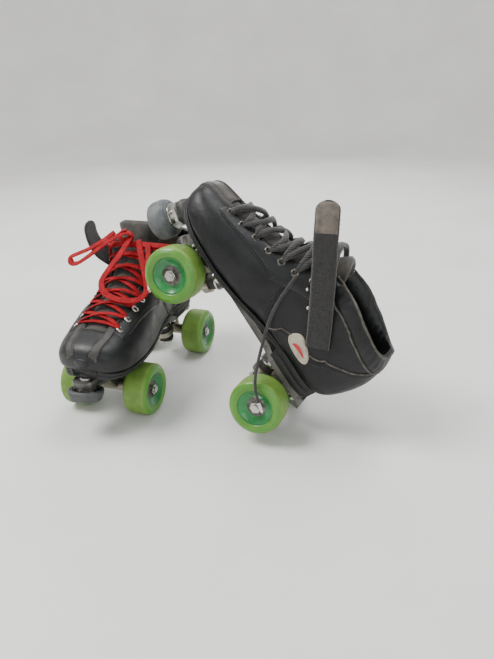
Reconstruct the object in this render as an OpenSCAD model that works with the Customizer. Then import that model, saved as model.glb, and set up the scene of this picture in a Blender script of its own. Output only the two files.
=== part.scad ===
// Pair of quad roller skates: the right skate stands on its wheels and the
// left skate leans on it, nose up. Millimetres, +Z up, floor at z = 0.

/* [Wheels] */
// Wheel diameter
wheel_d = 62; // [58:1:64]
// Wheel width across the tread
wheel_w = 31.5; // [30:0.5:34]
// Radius of the wheel core where the tyre is bonded on
core_r = 20; // [19:0.5:21]

/* [Chassis] */
// Distance between the front and rear axles
wheelbase = 168; // [164:1:172]
// Distance between the wheel centres on one axle
track = 84; // [84:1:88]
// Height of the plate top above the floor
plate_top = 68; // [67.5:0.25:68]
// Axle radius
axle_r = 4; // [3.9:0.05:4]

/* [Boot] */
// Thickness of the boot leather with its lining
leather_t = 4.5; // [3.5:0.5:5]
// Radius of a round lace
lace_r = 2; // [1.5:0.25:2]
// Radius of the hole in an eyelet
eyelet_r = 2.3; // [2:0.1:2.6]

/* [Toe stops] */
// Radius of the toe stop rubber
stop_r = 22; // [20:1:24]
// Height of the toe stop rubber
stop_h = 24; // [20:1:25]

/* [Leaning skate] */
// Nose-up angle of the left skate
lean_pitch = 52.9; // [52.9:0.1:53]
// Heading of the left skate
lean_yaw = -102.6; // [-102.7:0.1:-102.5]
// Sideways tilt of the left skate
lean_roll = 13.1; // [13:0.1:13.2]

/* [Hidden] */
wheel_r = wheel_d / 2;
axle_x = wheelbase / 2;
hub_y = track / 2;
plate_t = 8;
plate_bot = plate_top - plate_t;
// Centre of the floor box of the pair, taken off every position.
pair_shift = [17.555, 133.4, 0];
lean_pos = [48.3, 117.1, 86.5];

// ---------------------------------------------------------------- boot form
// The boot is a stack of sections. Each section lies on a line from the sole
// or heel to the instep or shin, and these are its stations:
// [back x, back z, front x, front z, half width, widest share, lower
//  squareness, upper squareness, sideways shift]
ST = [
  [150, 89, 151, 99, 8, 0.50, 2.4, 2.2, -7],
  [147, 82.5, 148, 106, 23, 0.45, 3.0, 2.2, -6.5],
  [140.5, 78, 140.5, 111.5, 34, 0.42, 3.6, 2.2, -6],
  [127, 74.2, 124, 116, 42, 0.40, 4.4, 2.1, -5],
  [107, 72, 103, 121, 46.5, 0.38, 5.0, 2.1, -3.5],
  [82, 72, 79, 129, 48, 0.36, 5.2, 2.1, -2],
  [56, 72, 56, 139, 46, 0.36, 5.2, 2.0, -1],
  [30, 73.5, 36, 150, 42, 0.38, 5.4, 2.0, 0],
  [4, 77, 23, 162, 38, 0.42, 5.5, 2.0, 0],
  [-24, 81, 15, 171, 36.5, 0.45, 5.5, 2.1, 0],
  [-54, 83, 10, 178, 36, 0.46, 5.5, 2.2, 0],
  [-82, 83, 6, 183, 35.5, 0.46, 5.2, 2.2, 0],
  [-104, 84, 3, 188, 35, 0.47, 4.0, 2.3, 0],
  [-116, 91, 1, 192, 34.5, 0.48, 3.0, 2.3, 0],
  [-122, 105, -1, 195, 34.5, 0.50, 2.5, 2.4, 0],
  [-125, 123, -3, 198, 35, 0.52, 2.4, 2.4, 0],
  [-124, 142, -5, 201, 36.5, 0.54, 2.4, 2.4, 0],
  [-119, 160, -7, 204, 38, 0.55, 2.4, 2.4, 0],
  [-111, 176, -9, 207, 39, 0.55, 2.4, 2.4, 0],
  [-106, 190, -11, 213, 40, 0.55, 2.4, 2.4, 0],
  [-104, 205, -13, 221, 40, 0.55, 2.4, 2.4, 0],
];
// Half width of the throat between the eyestays, by station.
TH = [6, 8, 11, 15, 20, 22, 23, 23.5, 24, 24, 24, 24, 24, 24, 24, 24, 24, 24, 24, 24, 24];
base_s = 9;      // below this station the rows are level
// Collar line: share of the way from throat edge to heel -> last station.
COL = [[0, 12.0], [0.03, 12.8], [0.08, 13.6], [0.17, 14.8], [0.27, 15.7], [0.37, 16.3],
       [0.47, 16.8], [0.6, 17.1], [0.75, 17.4], [0.88, 17.7], [1, 18]];
// Shares of the half girth where the boot columns run.
CC = [0, 0.06, 0.13, 0.22, 0.31, 0.4, 0.5, 0.6, 0.7, 0.8, 0.9, 1];
ROWS = [0, 0.5, 1, 1.6, 2.3, 2.9, 3.4, 4.4, 5.5, 6.4, 7.3, 8.2, 9, 10, 11, 12,
        13, 14, 15, 16, 17, 18];

function clampi(i, n) = max(0, min(n - 1, i));
function cr(a, b, c, d, u) =
  0.5 * (2 * b + (c - a) * u + (2 * a - 5 * b + 4 * c - d) * u * u
         + (3 * b - a - 3 * c + d) * u * u * u);
function at(tab, s) = let (i = floor(s), u = s - i, n = len(tab))
  cr(tab[clampi(i - 1, n)], tab[clampi(i, n)], tab[clampi(i + 1, n)],
     tab[clampi(i + 2, n)], u);
function pw(v, e) = v <= 0 ? 0 : pow(v, e);
// Point of the boot at station s and angle th; off is the depth below the skin.
// $sp is how far the collar of this boot is spread, and $leaf how far each
// quarter leans out at its top edge: [medial, lateral].
function flare(s) = $sp * pow(max(0, s - 9) / 8, 1.5);
function half_w(s) = at(ST, s)[4] + 9 * flare(s);
function throat_w(s) = at(TH, s) + 5 * flare(s);
function ease(u) = let (v = max(0, min(1, u))) v * v * (3 - 2 * v);
function lean_out(s, th, sy) = th <= 0 ? 0 : $leaf[sy > 0 ? 1 : 0] * ease((s - 7.5) / 5) * pow(sin(th), 2)
  * ease((90 - th) / 22);
function skin(s, th, sy, off, lean = 1) =
  let (q = at(ST, s), b = [q[0], q[1]], f = [q[2], q[3]], ln = norm(f - b),
       d = (f - b) / ln, m = th < 0 ? q[6] : q[7], l2 = ln - 2 * off,
       t = q[5] + (th < 0 ? -q[5] * pw(-sin(th), 2 / m)
                          : (1 - q[5]) * pw(sin(th), 2 / m)),
       p = b + d * (off + l2 * t))
  [p[0], q[8] + sy * ((half_w(s) - off) * pw(cos(th), 2 / m) + lean * lean_out(s, th, sy)), p[1]];
// Angle at which the skin is w from the middle plane, on the instep side.
function side_angle(s, w) = acos(pw(min(0.97, w / half_w(s)), at(ST, s)[7] / 2));
function edge_angle(s) = side_angle(s, throat_w(s));
function col_angle(s, c) = let (e = edge_angle(s)) e - c * (e + 90);
function col_end(c, i = 0) = c <= COL[0][0] ? COL[0][1]
  : i >= len(COL) - 1 ? COL[len(COL) - 1][1]
  : c <= COL[i + 1][0] ? let (u = (c - COL[i][0]) / (COL[i + 1][0] - COL[i][0]))
      COL[i][1] * (1 - u) + COL[i + 1][1] * u
  : col_end(c, i + 1);
function row_s(r, c) = r <= base_s ? r
  : base_s + (r - base_s) * (col_end(c) - base_s) / (18 - base_s);
// c runs 0 at the throat edge to 1 at the heel; -1 is the throat's middle.
// The inner face starts further back, so the toe end has its thickness too.
function boot_pt(r, c, sy, off) = let (s0 = row_s(r, max(c, 0)),
  s = off > 0 ? s0 + 0.8 * max(0, 1 - s0 / 3.4) : s0)
  skin(s, c < 0 ? 90 : col_angle(s, c), sy, off);

// One ring of columns: middle of the throat, one side down to the sole, and
// back up the other side.
RING = concat([[-1, 1]], [for (c = CC) [c, 1]],
              [for (i = [len(CC) - 2:-1:0]) [CC[i], -1]]);
NR = len(RING);

module boot_upper() {
  n = len(ROWS);
  pts = concat(
    [for (r = ROWS, q = RING) boot_pt(r, q[0], q[1], 0)],
    [for (r = ROWS, q = RING) boot_pt(r, q[0], q[1], leather_t)]);
  m = n * NR;
  iv = 6;
  function open(i, j) = i >= iv && (j == 0 || j == NR - 1);
  function v(i, j) = i * NR + (j + NR) % NR;
  color([0.09, 0.1, 0.11])
  polyhedron(points = pts, faces = concat(
    [[for (j = [0:NR - 1]) v(0, j)], [for (j = [NR - 1:-1:0]) m + v(0, j)]],
    [for (i = [0:n - 2], j = [0:NR - 1]) if (!open(i, j))
      each [[v(i, j), v(i + 1, j), v(i, j + 1)],
            [v(i, j + 1), v(i + 1, j), v(i + 1, j + 1)],
            [m + v(i, j), m + v(i, j + 1), m + v(i + 1, j)],
            [m + v(i, j + 1), m + v(i + 1, j + 1), m + v(i + 1, j)]]],
    // collar rim
    [for (j = [0:NR - 1]) if (!open(n - 2, j))
      each [[v(n - 1, j), m + v(n - 1, j), v(n - 1, j + 1)],
            [v(n - 1, j + 1), m + v(n - 1, j), m + v(n - 1, j + 1)]]],
    // throat end
    [for (j = [0, NR - 1])
      each [[v(iv, j), m + v(iv, j), v(iv, j + 1)],
            [v(iv, j + 1), m + v(iv, j), m + v(iv, j + 1)]]],
    // throat edges
    [for (i = [iv:n - 2])
      each [[v(i, 1), m + v(i, 1), v(i + 1, 1)],
            [m + v(i, 1), m + v(i + 1, 1), v(i + 1, 1)],
            [v(i, NR - 1), v(i + 1, NR - 1), m + v(i, NR - 1)],
            [m + v(i, NR - 1), v(i + 1, NR - 1), m + v(i + 1, NR - 1)]]]));
}

// A sheet between two point grids with the same rows and columns.
module slab(a, b) {
  n = len(a); k = len(a[0]); m = n * k;
  function v(i, j) = i * k + j;
  polyhedron(points = concat([for (r = a) each r], [for (r = b) each r]),
    faces = concat(
      [for (i = [0:n - 2], j = [0:k - 2])
        each [[v(i, j), v(i + 1, j), v(i, j + 1)],
              [v(i, j + 1), v(i + 1, j), v(i + 1, j + 1)],
              [m + v(i, j), m + v(i, j + 1), m + v(i + 1, j)],
              [m + v(i, j + 1), m + v(i + 1, j + 1), m + v(i + 1, j)]]],
      [for (i = [0:n - 2])
        each [[v(i, 0), m + v(i, 0), v(i + 1, 0)],
              [m + v(i, 0), m + v(i + 1, 0), v(i + 1, 0)],
              [v(i, k - 1), v(i + 1, k - 1), m + v(i, k - 1)],
              [m + v(i, k - 1), v(i + 1, k - 1), m + v(i + 1, k - 1)]]],
      [for (j = [0:k - 2])
        each [[v(0, j), v(0, j + 1), m + v(0, j)],
              [m + v(0, j), v(0, j + 1), m + v(0, j + 1)],
              [v(n - 1, j), m + v(n - 1, j), v(n - 1, j + 1)],
              [m + v(n - 1, j), m + v(n - 1, j + 1), v(n - 1, j + 1)]]]));
}

// ------------------------------------------------------- tongue and footbed
TS = [3.6, 4.5, 6, 7, 8, 9, 10.5, 12, 14, 16, 17, 18.4];
function tongue_pt(s, c, off) =
  let (a = side_angle(s, min(at(TH, s) + 9 + 3 * flare(s), half_w(s) - 9)))
  skin(s, 90 - abs(c) * (90 - a), c < 0 ? -1 : 1, off, 0);
module tongue() {
  cols = [-1, -0.7, -0.4, 0, 0.4, 0.7, 1];
  rows = [for (s = TS) if (s <= ($sp == 1 ? 18.4 : 17)) s];
  color([0.14, 0.13, 0.13])
  slab([for (s = rows) [for (c = cols) tongue_pt(s, c, leather_t + 1.6)]],
       [for (s = rows) [for (c = cols) tongue_pt(s, c, leather_t + 5.6)]]);
}
// Sole strips, station by station: [station, half width, low z, high z]
function strip(tab, k) = [for (q = tab) let (p = at(ST, q[0]))
  [for (y = [-1, 1]) [p[0], p[8] + y * q[1], q[k]]]];
function sole_z(s) = at(ST, s)[1];
module footbed() {
  tab = [for (s = [3, 3.5, 4, 5, 6, 6.5, 7, 7.5, 8, 8.5, 9, 9.5, 10, 11, 11.8])
    [s, at(ST, s)[4] * 0.6, sole_z(s) + leather_t + 3, sole_z(s) + leather_t + 6.4]];
  color([0.2, 0.2, 0.2]) slab(strip(tab, 3), strip(tab, 2));
}
// Outsole underside: [station, half width, z]; the heel block starts at 9.7.
OS = [[1, 15, 75], [1.6, 23, 72], [2.3, 30, 70.4], [3, 36, 69], [4, 42, 68.3], [5, 44, 68.3],
      [6, 42.5, 68.3], [7, 37.5, 69.6], [8, 33, 73], [9, 31, 77], [9.6, 30.5, 78.8],
      [9.7, 30.5, 68.3], [11, 30.5, 68.3], [11.7, 26, 68.3], [12.2, 17, 68.3]];
module outsole() {
  tab = [for (q = OS) [q[0], q[1], q[2], sole_z(q[0]) - 0.3]];
  color([0.07, 0.07, 0.075]) slab(strip(tab, 3), strip(tab, 2));
}

// ------------------------------------------------------------ strap and trim
function unit(v) = v / norm(v);
// Lateral patch of the skin between stations and shares, hi..lo above it.
module patch(ss, cs, hi, lo) {
  slab([for (s = ss) [for (c = cs) skin(s, col_angle(s, c), 1, -hi)]],
       [for (s = ss) [for (c = cs) skin(s, col_angle(s, c), 1, -lo)]]);
}
// Flat band along the points P, w wide in the fore-and-aft plane, t thick.
module band(P, w, t) {
  n = len(P);
  function tn(i) = i == 0 ? base_dir : unit(P[min(i + 1, n - 1)] - P[i - 1]);
  function wd(i) = unit(cross([0, 1, 0], tn(i))) * w / 2;
  function nrm(i) = unit(cross(wd(i), tn(i))) * t / 2;
  slab([for (i = [0:n - 1]) [P[i] - wd(i) + nrm(i), P[i] + wd(i) + nrm(i)]],
       [for (i = [0:n - 1]) [P[i] - wd(i) - nrm(i), P[i] + wd(i) - nrm(i)]]);
}
strap_w = 25;
strap_t = 2.6;
// Strap centre lines: sewn base on the quarter, then the free end.
base_path = [[-62, 39.5, 122], [-48, 40, 134], [-34, 40.5, 145], [-20, 41.2, 156], [-6, 42.5, 167]];
base_dir = unit(base_path[4] - base_path[0]);
free_left = [[-5, 42.6, 167.8], [7, 43.6, 177], [21, 43.4, 187], [35, 41, 197], [50, 36, 207], [57, 33, 212]];
free_right = [[-5, 47.6, 167.8], [1, 49, 174], [5, 51, 182], [7, 53, 192], [7, 54, 202], [6, 53, 210]];
module strap_base(dy) {
  P = [for (p = base_path) p + [0, dy, 0]];
  color([0.1, 0.1, 0.105]) band(P, strap_w, strap_t);
}
module ankle_strap(P) { color([0.12, 0.12, 0.12]) band(P, strap_w, strap_t); }
module badge() {
  color([0.72, 0.68, 0.58]) patch([9.9, 10.2, 10.55, 10.9, 11.25], [0.38, 0.41, 0.44, 0.47, 0.5], 2.1, 0.5);
}
EY = [3.95, 4.7, 5.5, 6.3, 7.15, 8.2, 9.7, 11.6]; // eyelet stations
function eye_a(s, w = 7) = side_angle(s, throat_w(s) + w);
function eye(s, sy, off) = skin(s, eye_a(s), sy, off);
function eye_n(s, sy) = unit(eye(s, sy, -3) - eye(s, sy, 1));
module along(v) { rotate([0, acos(v[2]), atan2(v[1], v[0])]) children(); }
module eyelets() {
  color([0.7, 0.62, 0.4]) for (s = EY, sy = [-1, 1])
    translate(eye(s, sy, 0)) along(eye_n(s, sy)) difference() {
      union() {
        translate([0, 0, -0.3]) cylinder(h = 1.1, r = 4.4, $fn = 48);
        translate([0, 0, -5]) cylinder(h = 5.4, r = 2.9, $fn = 48);
      }
      translate([0, 0, -9]) cylinder(h = 14, r = eyelet_r, $fn = 48);
    }
}
// Tube of radius r through the points P, n sides; ref is never along it.
module tube(P, r, ref, n = 8) {
  m = len(P);
  function tan_(i) = unit(P[min(i + 1, m - 1)] - P[max(i - 1, 0)]);
  function ring(i) = let (t = tan_(i), u = unit(cross(t, ref)), v = cross(t, u))
    [for (k = [0:n - 1]) P[i] + r * (cos(k * 360 / n) * u + sin(k * 360 / n) * v)];
  polyhedron(points = [for (i = [0:m - 1]) each ring(i)],
    faces = concat([[for (k = [0:n - 1]) k]], [[for (k = [n - 1:-1:0]) (m - 1) * n + k]],
      [for (i = [0:m - 2], k = [0:n - 1]) let (a = i * n + k, b = i * n + (k + 1) % n)
        each [[a, a + n, b], [b, a + n, b + n]]]));
}
// The lace crosses the throat between eyelet rows, over the tongue.
function crossing(i, sy) = [for (k = [0:4]) let (u = k / 4, s = EY[i] * (1 - u) + EY[i + 1] * u,
  e = eye_a(s), g = (k - 2) * (90 - e) / 2) if (k > 0 || i == 0)
  skin(s, 90 - abs(g), g < 0 ? sy : -sy, -lace_r - 1.2 - (sy > 0 ? 2.6 * lace_r * (1 - abs(k - 2) / 2) : 0))];
module lace(c) {
  color(c) {
    for (sy = [-1, 1])
      tube([for (i = [0:6]) each crossing(i, i % 2 == 0 ? sy : -sy)], lace_r, [1, 0, 0.9]);
  }
}
// Loose ends, in the frame of their own skate.
tail = [[13, 38, 146], [8, 42, 135], [2, 43, 120], [-5, 43, 106], [-15, 42.5, 91], [-28, 44, 76],
        [-41, 51, 64], [-54, 58.5, 54], [-66, 61.5, 47], [-79, 61.5, 42], [-91, 61, 39]];
loop_out = [[9, 12, 196], [18, 22, 190], [27, 36, 180], [31, 50, 170], [31, 64, 162], [28, 74, 161],
            [24, 76, 167], [24, 66, 172], [24, 54, 177], [23, 42, 183], [17, 30, 190], [7, 20, 198]];
loop_front = [[9, -4, 196], [22, -2, 187], [36, 2, 176], [50, 9, 164], [62, 12, 154], [71, 6, 146],
              [75, -7, 141], [74, -22, 138], [68, -36, 138], [58, -42, 143], [46, -38, 152],
              [33, -29, 163], [20, -20, 176], [9, -12, 190]];
end_out = [[12, -26, 186], [22, -31, 178], [33, -35, 169], [44, -39, 159], [54, -45, 149]];
module lace_end_left() { color([0.06, 0.06, 0.06]) tube(tail, lace_r, [0.2, 1, 0]); }
module lace_end_right() {
  color([0.75, 0.12, 0.16]) {
    tube(loop_out, lace_r, [1, 0, 0.2]);
    tube(loop_front, lace_r, [1, 0, 1.4]);
    tube(end_out, lace_r, [0, 0.3, 1]);
  }
}

// ------------------------------------------------------------------- wheels
function arc2(c, r, a0, a1, n) = [for (i = [0:n]) let (a = a0 + (a1 - a0) * i / n)
  [c[0] + r * cos(a), c[1] + r * sin(a)]];
module spin_y() { rotate([-90, 0, 0]) rotate_extrude($fn = 96) children(); }
module wheel() {
  h = wheel_w / 2;
  color([0.36, 0.6, 0.16]) spin_y() polygon(concat(
    [[core_r, -h + 1.4], [core_r + 3.4, -h + 0.5]],
    arc2([core_r + 5.2, -h + 1.2], 1.2, -110, -60, 3),
    arc2([wheel_r - 6.5, -h + 6.9], 6.5, -62, 0, 6),
    arc2([wheel_r - 6.5, h - 6.9], 6.5, 0, 62, 6),
    arc2([core_r + 5.2, h - 1.2], 1.2, 60, 110, 3),
    [[core_r + 3.4, h - 0.5], [core_r, h - 1.4]]));
  color([0.07, 0.42, 0.2]) spin_y() polygon([
    [11.02, 2], [11.02, 9.2], [12.4, 9.7], [17.8, 12.8], [19, 13.6],
    [core_r, 13.8], [core_r, -13.8], [19, -13.6], [17.8, -12.8], [12.4, -9.7],
    [11.02, -9.2], [11.02, -2], [9.5, -2], [9.5, 2]]);
}
module bearings() {
  color([0.75, 0.75, 0.76]) {
    for (k = [-1, 1]) translate([0, k * 5.5, 0]) spin_y() polygon([
      [axle_r + 0.05, -3.48], [5.8, -3.48], [6.2, -3.1], [9.2, -3.1], [9.5, -3.48],
      [11, -3.48], [11, 3.48], [9.5, 3.48], [9.2, 3.1], [6.2, 3.1], [5.8, 3.48],
      [axle_r + 0.05, 3.48]]);
    spin_y() translate([axle_r + 0.05, -1.98]) square([1.4, 3.96]);
  }
}

// ------------------------------------------------------------------- trucks
// The truck swings on a line from the pivot cup down to the king pin.
piv = [21, 0, 22];   // pivot pin's middle from the axle, outboard and up
kp = [-24, 0, 6];    // king pin centre from the axle, inboard and up
steer_a = atan2(piv[2] - kp[2], piv[0] - kp[0]); // slope of the steering line
module at_kingpin() { translate(kp) rotate([0, -steer_a, 0]) children(); }
module hanger() {
  color([0.5, 0.46, 0.4]) difference() {
    union() {
      rotate([90, 0, 0]) cylinder(h = 2 * (hub_y - 9.6), r = 7, center = true, $fn = 64);
      at_kingpin() cylinder(h = 8, r = 12.5, center = true, $fn = 64);
      // web from the axle housing to the ring and out to the pivot arm
      hull() {
        rotate([90, 0, 0]) cylinder(h = 44, r = 5.5, center = true, $fn = 32);
        at_kingpin() for (y = [-7, 7]) translate([12.6, y, 0]) cylinder(h = 7, r = 4, center = true, $fn = 24);
      }
      hull() {
        rotate([90, 0, 0]) cylinder(h = 20, r = 6, center = true, $fn = 32);
        translate([12, 0, 12]) sphere(r = 5.5, $fn = 24);
      }
      translate(piv) rotate([0, 90 - steer_a, 0]) translate([0, 0, -13.5])
        cylinder(h = 16, r = 4, $fn = 48);
    }
    rotate([90, 0, 0]) cylinder(h = 200, r = axle_r + 0.02, center = true, $fn = 64);
    at_kingpin() cylinder(h = 60, r = 7, center = true, $fn = 64);
  }
}
module hex(af, h) { cylinder(h = h, r = af / 2 / cos(30), $fn = 6); }
module axle() {
  color([0.72, 0.71, 0.68]) {
    rotate([90, 0, 0]) cylinder(h = 2 * (hub_y + 12), r = axle_r, center = true, $fn = 64);
    rotate([90, 0, 0]) cylinder(h = 2 * (hub_y + 15), r = axle_r - 0.2, center = true, $fn = 64);
    for (k = [-1, 1]) translate([0, k * (hub_y + 9.1), 0]) rotate([-90 * k, 0, 0]) {
      cylinder(h = 0.9, r = 5.6, $fn = 48);
      translate([0, 0, 0.9]) hex(11, 3);
    }
  }
}
module cushions() {
  color([0.35, 0.28, 0.16]) at_kingpin() {
    difference() {
      translate([0, 0, 4.1]) cylinder(h = 9.2, r1 = 9.5, r2 = 10.5, $fn = 64);
      cylinder(h = 60, r = 4.7, center = true, $fn = 48);
    }
    difference() {
      translate([0, 0, -12.6]) cylinder(h = 8.5, r1 = 7.5, r2 = 8.4, $fn = 64);
      cylinder(h = 60, r = 4.7, center = true, $fn = 48);
    }
  }
}
module kingpin() {
  color([0.8, 0.78, 0.72]) at_kingpin() {
    translate([0, 0, -21]) cylinder(h = 44, r = 4.5, $fn = 48);
    // cup washers and lock nut
    difference() {
      union() {
        translate([0, 0, 13.4]) cylinder(h = 1.6, r = 12.2, $fn = 64);
        translate([0, 0, -14.2]) cylinder(h = 1.5, r = 10.5, $fn = 64);
        translate([0, 0, -20.5]) hex(14, 6.2);
      }
      cylinder(h = 80, r = 4.52, center = true, $fn = 48);
    }
  }
}
module pivot_cup() {
  color([0.12, 0.12, 0.12]) translate(piv) rotate([0, 90 - steer_a, 0])
    difference() {
      translate([0, 0, -3]) cylinder(h = 8.6, r = 6.6, $fn = 48);
      translate([0, 0, -6]) cylinder(h = 9, r = 4.06, $fn = 48);
    }
}
// Places a truck part on the front or the rear axle.
module front_end() { translate([axle_x, 0, wheel_r]) children(); }
module rear_end() { translate([-axle_x, 0, wheel_r]) mirror([1, 0, 0]) children(); }

// -------------------------------------------------------------------- plate
stop_a = 15; // toe stop tilt from upright
stop_top = [136, 0, 70]; // the stem's axis above the plate
module on_stop() { translate(stop_top) rotate([0, -stop_a, 0]) children(); }
module end_boss() {
  // king pin boss and pivot housing of one truck, from the plate's underside
  at_kingpin() translate([0, 0, 15.1]) cylinder(h = 12, r = 11, $fn = 64);
  translate(piv) rotate([0, 90 - steer_a, 0]) translate([0, 0, -2.6]) cylinder(h = 12, r = 10, $fn = 64);
}
module end_holes() {
  at_kingpin() cylinder(h = 80, r = 4.52, center = true, $fn = 48);
  translate(piv) rotate([0, 90 - steer_a, 0]) translate([0, 0, -30]) cylinder(h = 35.65, r = 6.62, $fn = 48);
}
module plate() {
  color([0.13, 0.13, 0.135]) difference() {
    intersection() {
      union() {
        translate([0, 0, plate_bot]) linear_extrude(plate_t) difference() {
          polygon([[116, -16], [128, -13.5], [146, -12], [151, -7], [151, 7], [146, 12], [128, 13.5],
                   [116, 16], [104, 24], [52, 24], [36, 17], [-36, 17], [-52, 24], [-100, 24],
                   [-106, 17], [-106, -17], [-100, -24], [-52, -24], [-36, -17], [36, -17],
                   [52, -24], [104, -24]]);
          for (k = [-1, 1]) hull() {
            translate([k * 24, 0]) circle(r = 7, $fn = 32);
            translate([k * 8, 0]) circle(r = 7, $fn = 32);
          }
        }
        front_end() end_boss();
        rear_end() end_boss();
        on_stop() translate([0, 0, -14.5]) cylinder(h = 13, r = 12, $fn = 64);
      }
      translate([-200, -60, 0]) cube([400, 120, plate_top]);
    }
    front_end() end_holes();
    rear_end() end_holes();
    on_stop() translate([0, 0, -40]) cylinder(h = 80, r = 8.02, $fn = 64);
    for (x = bolt_x, y = [-18, 18]) translate([x, y, plate_bot - 10]) cylinder(h = 40, r = 3.1, $fn = 32);
  }
}
bolt_x = [98, 56, -56, -98];
module plate_bolts() {
  color([0.7, 0.7, 0.68]) for (x = bolt_x, y = [-18, 18]) translate([x, y, plate_bot - 3.2]) {
    difference() {
      cylinder(h = 3.2, r = 5.2, $fn = 48);
      translate([0, 0, -0.1]) hex(4, 2);
    }
    translate([0, 0, 3.2]) cylinder(h = 7.9, r = 3, $fn = 32);
  }
  // lock nut of the toe stop
  color([0.7, 0.7, 0.68]) on_stop() translate([0, 0, -18.1]) difference() {
    hex(24, 3.5);
    translate([0, 0, -1]) cylinder(h = 8, r = 8.03, $fn = 64);
  }
}
// ---------------------------------------------------------------- toe stops
// Low stop, its rim standing round the lock nut.
low_h = 7; // height under the washer
module low_stop() {
  color([0.1, 0.105, 0.115]) on_stop() rotate([180, 0, 0]) rotate_extrude($fn = 96)
    polygon([[0, 20.5], [15.2, 20.5], [15.2, 15.4], [18.5, 15.2], [20, 16.5], [19.6, 20],
             [17.6, 19.5 + low_h], [16.6, 20.5 + low_h], [0, 20.5 + low_h]]);
}
// ext is how far the stem is screwed out of the plate.
module toe_stop(ext) {
  color([0.1, 0.105, 0.115]) on_stop() translate([0, 0, -20.5 - ext]) rotate([180, 0, 0])
    rotate_extrude($fn = 96) polygon([[0, 0], [17, 0], [20, 2], [stop_r, 7],
      [stop_r, stop_h - 6], [stop_r - 1.5, stop_h - 2], [stop_r - 4, stop_h], [0, stop_h]]);
}
module toe_stop_stem(ext) {
  color([0.75, 0.74, 0.7]) on_stop() translate([0, 0, -20.48 - ext]) {
    cylinder(h = 18.5, r = 7.98, $fn = 64);
    cylinder(h = 2, r = 15, $fn = 64);
  }
}

// ------------------------------------------------------------------- layout
module right_skate() { $sp = 1; $leaf = [64, 20]; translate(-pair_shift) mirror([0, 1, 0]) children(); }
module left_skate() { $sp = 0.6; $leaf = [16, 5]; translate(lean_pos - pair_shift) rotate([0, 0, lean_yaw])
  rotate([0, -lean_pitch, 0]) rotate([lean_roll, 0, 0]) children(); }
module at_wheel(e, k) { translate([e * axle_x, k * hub_y, wheel_r]) children(); }

right_skate() boot_upper();  // right_boot_upper
left_skate() boot_upper();  // left_boot_upper
right_skate() tongue();  // right_tongue
left_skate() tongue();  // left_tongue
right_skate() footbed();  // right_footbed
left_skate() footbed();  // left_footbed
right_skate() outsole();  // right_outsole
left_skate() outsole();  // left_outsole
right_skate() eyelets();  // right_eyelets
left_skate() eyelets();  // left_eyelets
right_skate() badge();  // right_badge
left_skate() badge();  // left_badge
right_skate() plate();  // right_plate
left_skate() plate();  // left_plate
right_skate() plate_bolts();  // right_plate_bolts
left_skate() plate_bolts();  // left_plate_bolts
right_skate() front_end() hanger();  // right_front_hanger
left_skate() front_end() hanger();  // left_front_hanger
right_skate() rear_end() hanger();  // right_rear_hanger
left_skate() rear_end() hanger();  // left_rear_hanger
right_skate() front_end() cushions();  // right_front_cushions
left_skate() front_end() cushions();  // left_front_cushions
right_skate() rear_end() cushions();  // right_rear_cushions
left_skate() rear_end() cushions();  // left_rear_cushions
right_skate() { front_end() kingpin(); rear_end() kingpin(); }  // right_kingpins
left_skate() { front_end() kingpin(); rear_end() kingpin(); }  // left_kingpins
right_skate() { front_end() pivot_cup(); rear_end() pivot_cup(); }  // right_pivot_cups
left_skate() { front_end() pivot_cup(); rear_end() pivot_cup(); }  // left_pivot_cups
right_skate() front_end() axle();  // right_front_axle
left_skate() front_end() axle();  // left_front_axle
right_skate() rear_end() axle();  // right_rear_axle
left_skate() rear_end() axle();  // left_rear_axle
right_skate() strap_base(5);  // right_strap_base
left_skate() strap_base(0);  // left_strap_base
right_skate() ankle_strap(free_right);  // right_ankle_strap
left_skate() ankle_strap(free_left);  // left_ankle_strap
right_skate() lace([0.75, 0.12, 0.16]);  // right_lace
left_skate() lace([0.06, 0.06, 0.06]);  // left_lace
right_skate() lace_end_right();  // right_lace_end
left_skate() lace_end_left();  // left_lace_end
right_skate() low_stop();  // right_toe_stop
left_skate() toe_stop(4);  // left_toe_stop
right_skate() toe_stop_stem(0);  // right_toe_stop_stem
left_skate() toe_stop_stem(4);  // left_toe_stop_stem
right_skate() at_wheel(1, -1) wheel();  // right_front_inner_wheel
right_skate() at_wheel(1, -1) bearings();  // right_front_inner_bearings
right_skate() at_wheel(1, 1) wheel();  // right_front_outer_wheel
right_skate() at_wheel(1, 1) bearings();  // right_front_outer_bearings
right_skate() at_wheel(-1, -1) wheel();  // right_rear_inner_wheel
right_skate() at_wheel(-1, -1) bearings();  // right_rear_inner_bearings
right_skate() at_wheel(-1, 1) wheel();  // right_rear_outer_wheel
right_skate() at_wheel(-1, 1) bearings();  // right_rear_outer_bearings
left_skate() at_wheel(1, -1) wheel();  // left_front_inner_wheel
left_skate() at_wheel(1, -1) bearings();  // left_front_inner_bearings
left_skate() at_wheel(1, 1) wheel();  // left_front_outer_wheel
left_skate() at_wheel(1, 1) bearings();  // left_front_outer_bearings
left_skate() at_wheel(-1, -1) wheel();  // left_rear_inner_wheel
left_skate() at_wheel(-1, -1) bearings();  // left_rear_inner_bearings
left_skate() at_wheel(-1, 1) wheel();  // left_rear_outer_wheel
left_skate() at_wheel(-1, 1) bearings();  // left_rear_outer_bearings
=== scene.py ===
import math
import numpy as np
import bpy
from mathutils import Matrix, Vector


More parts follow.
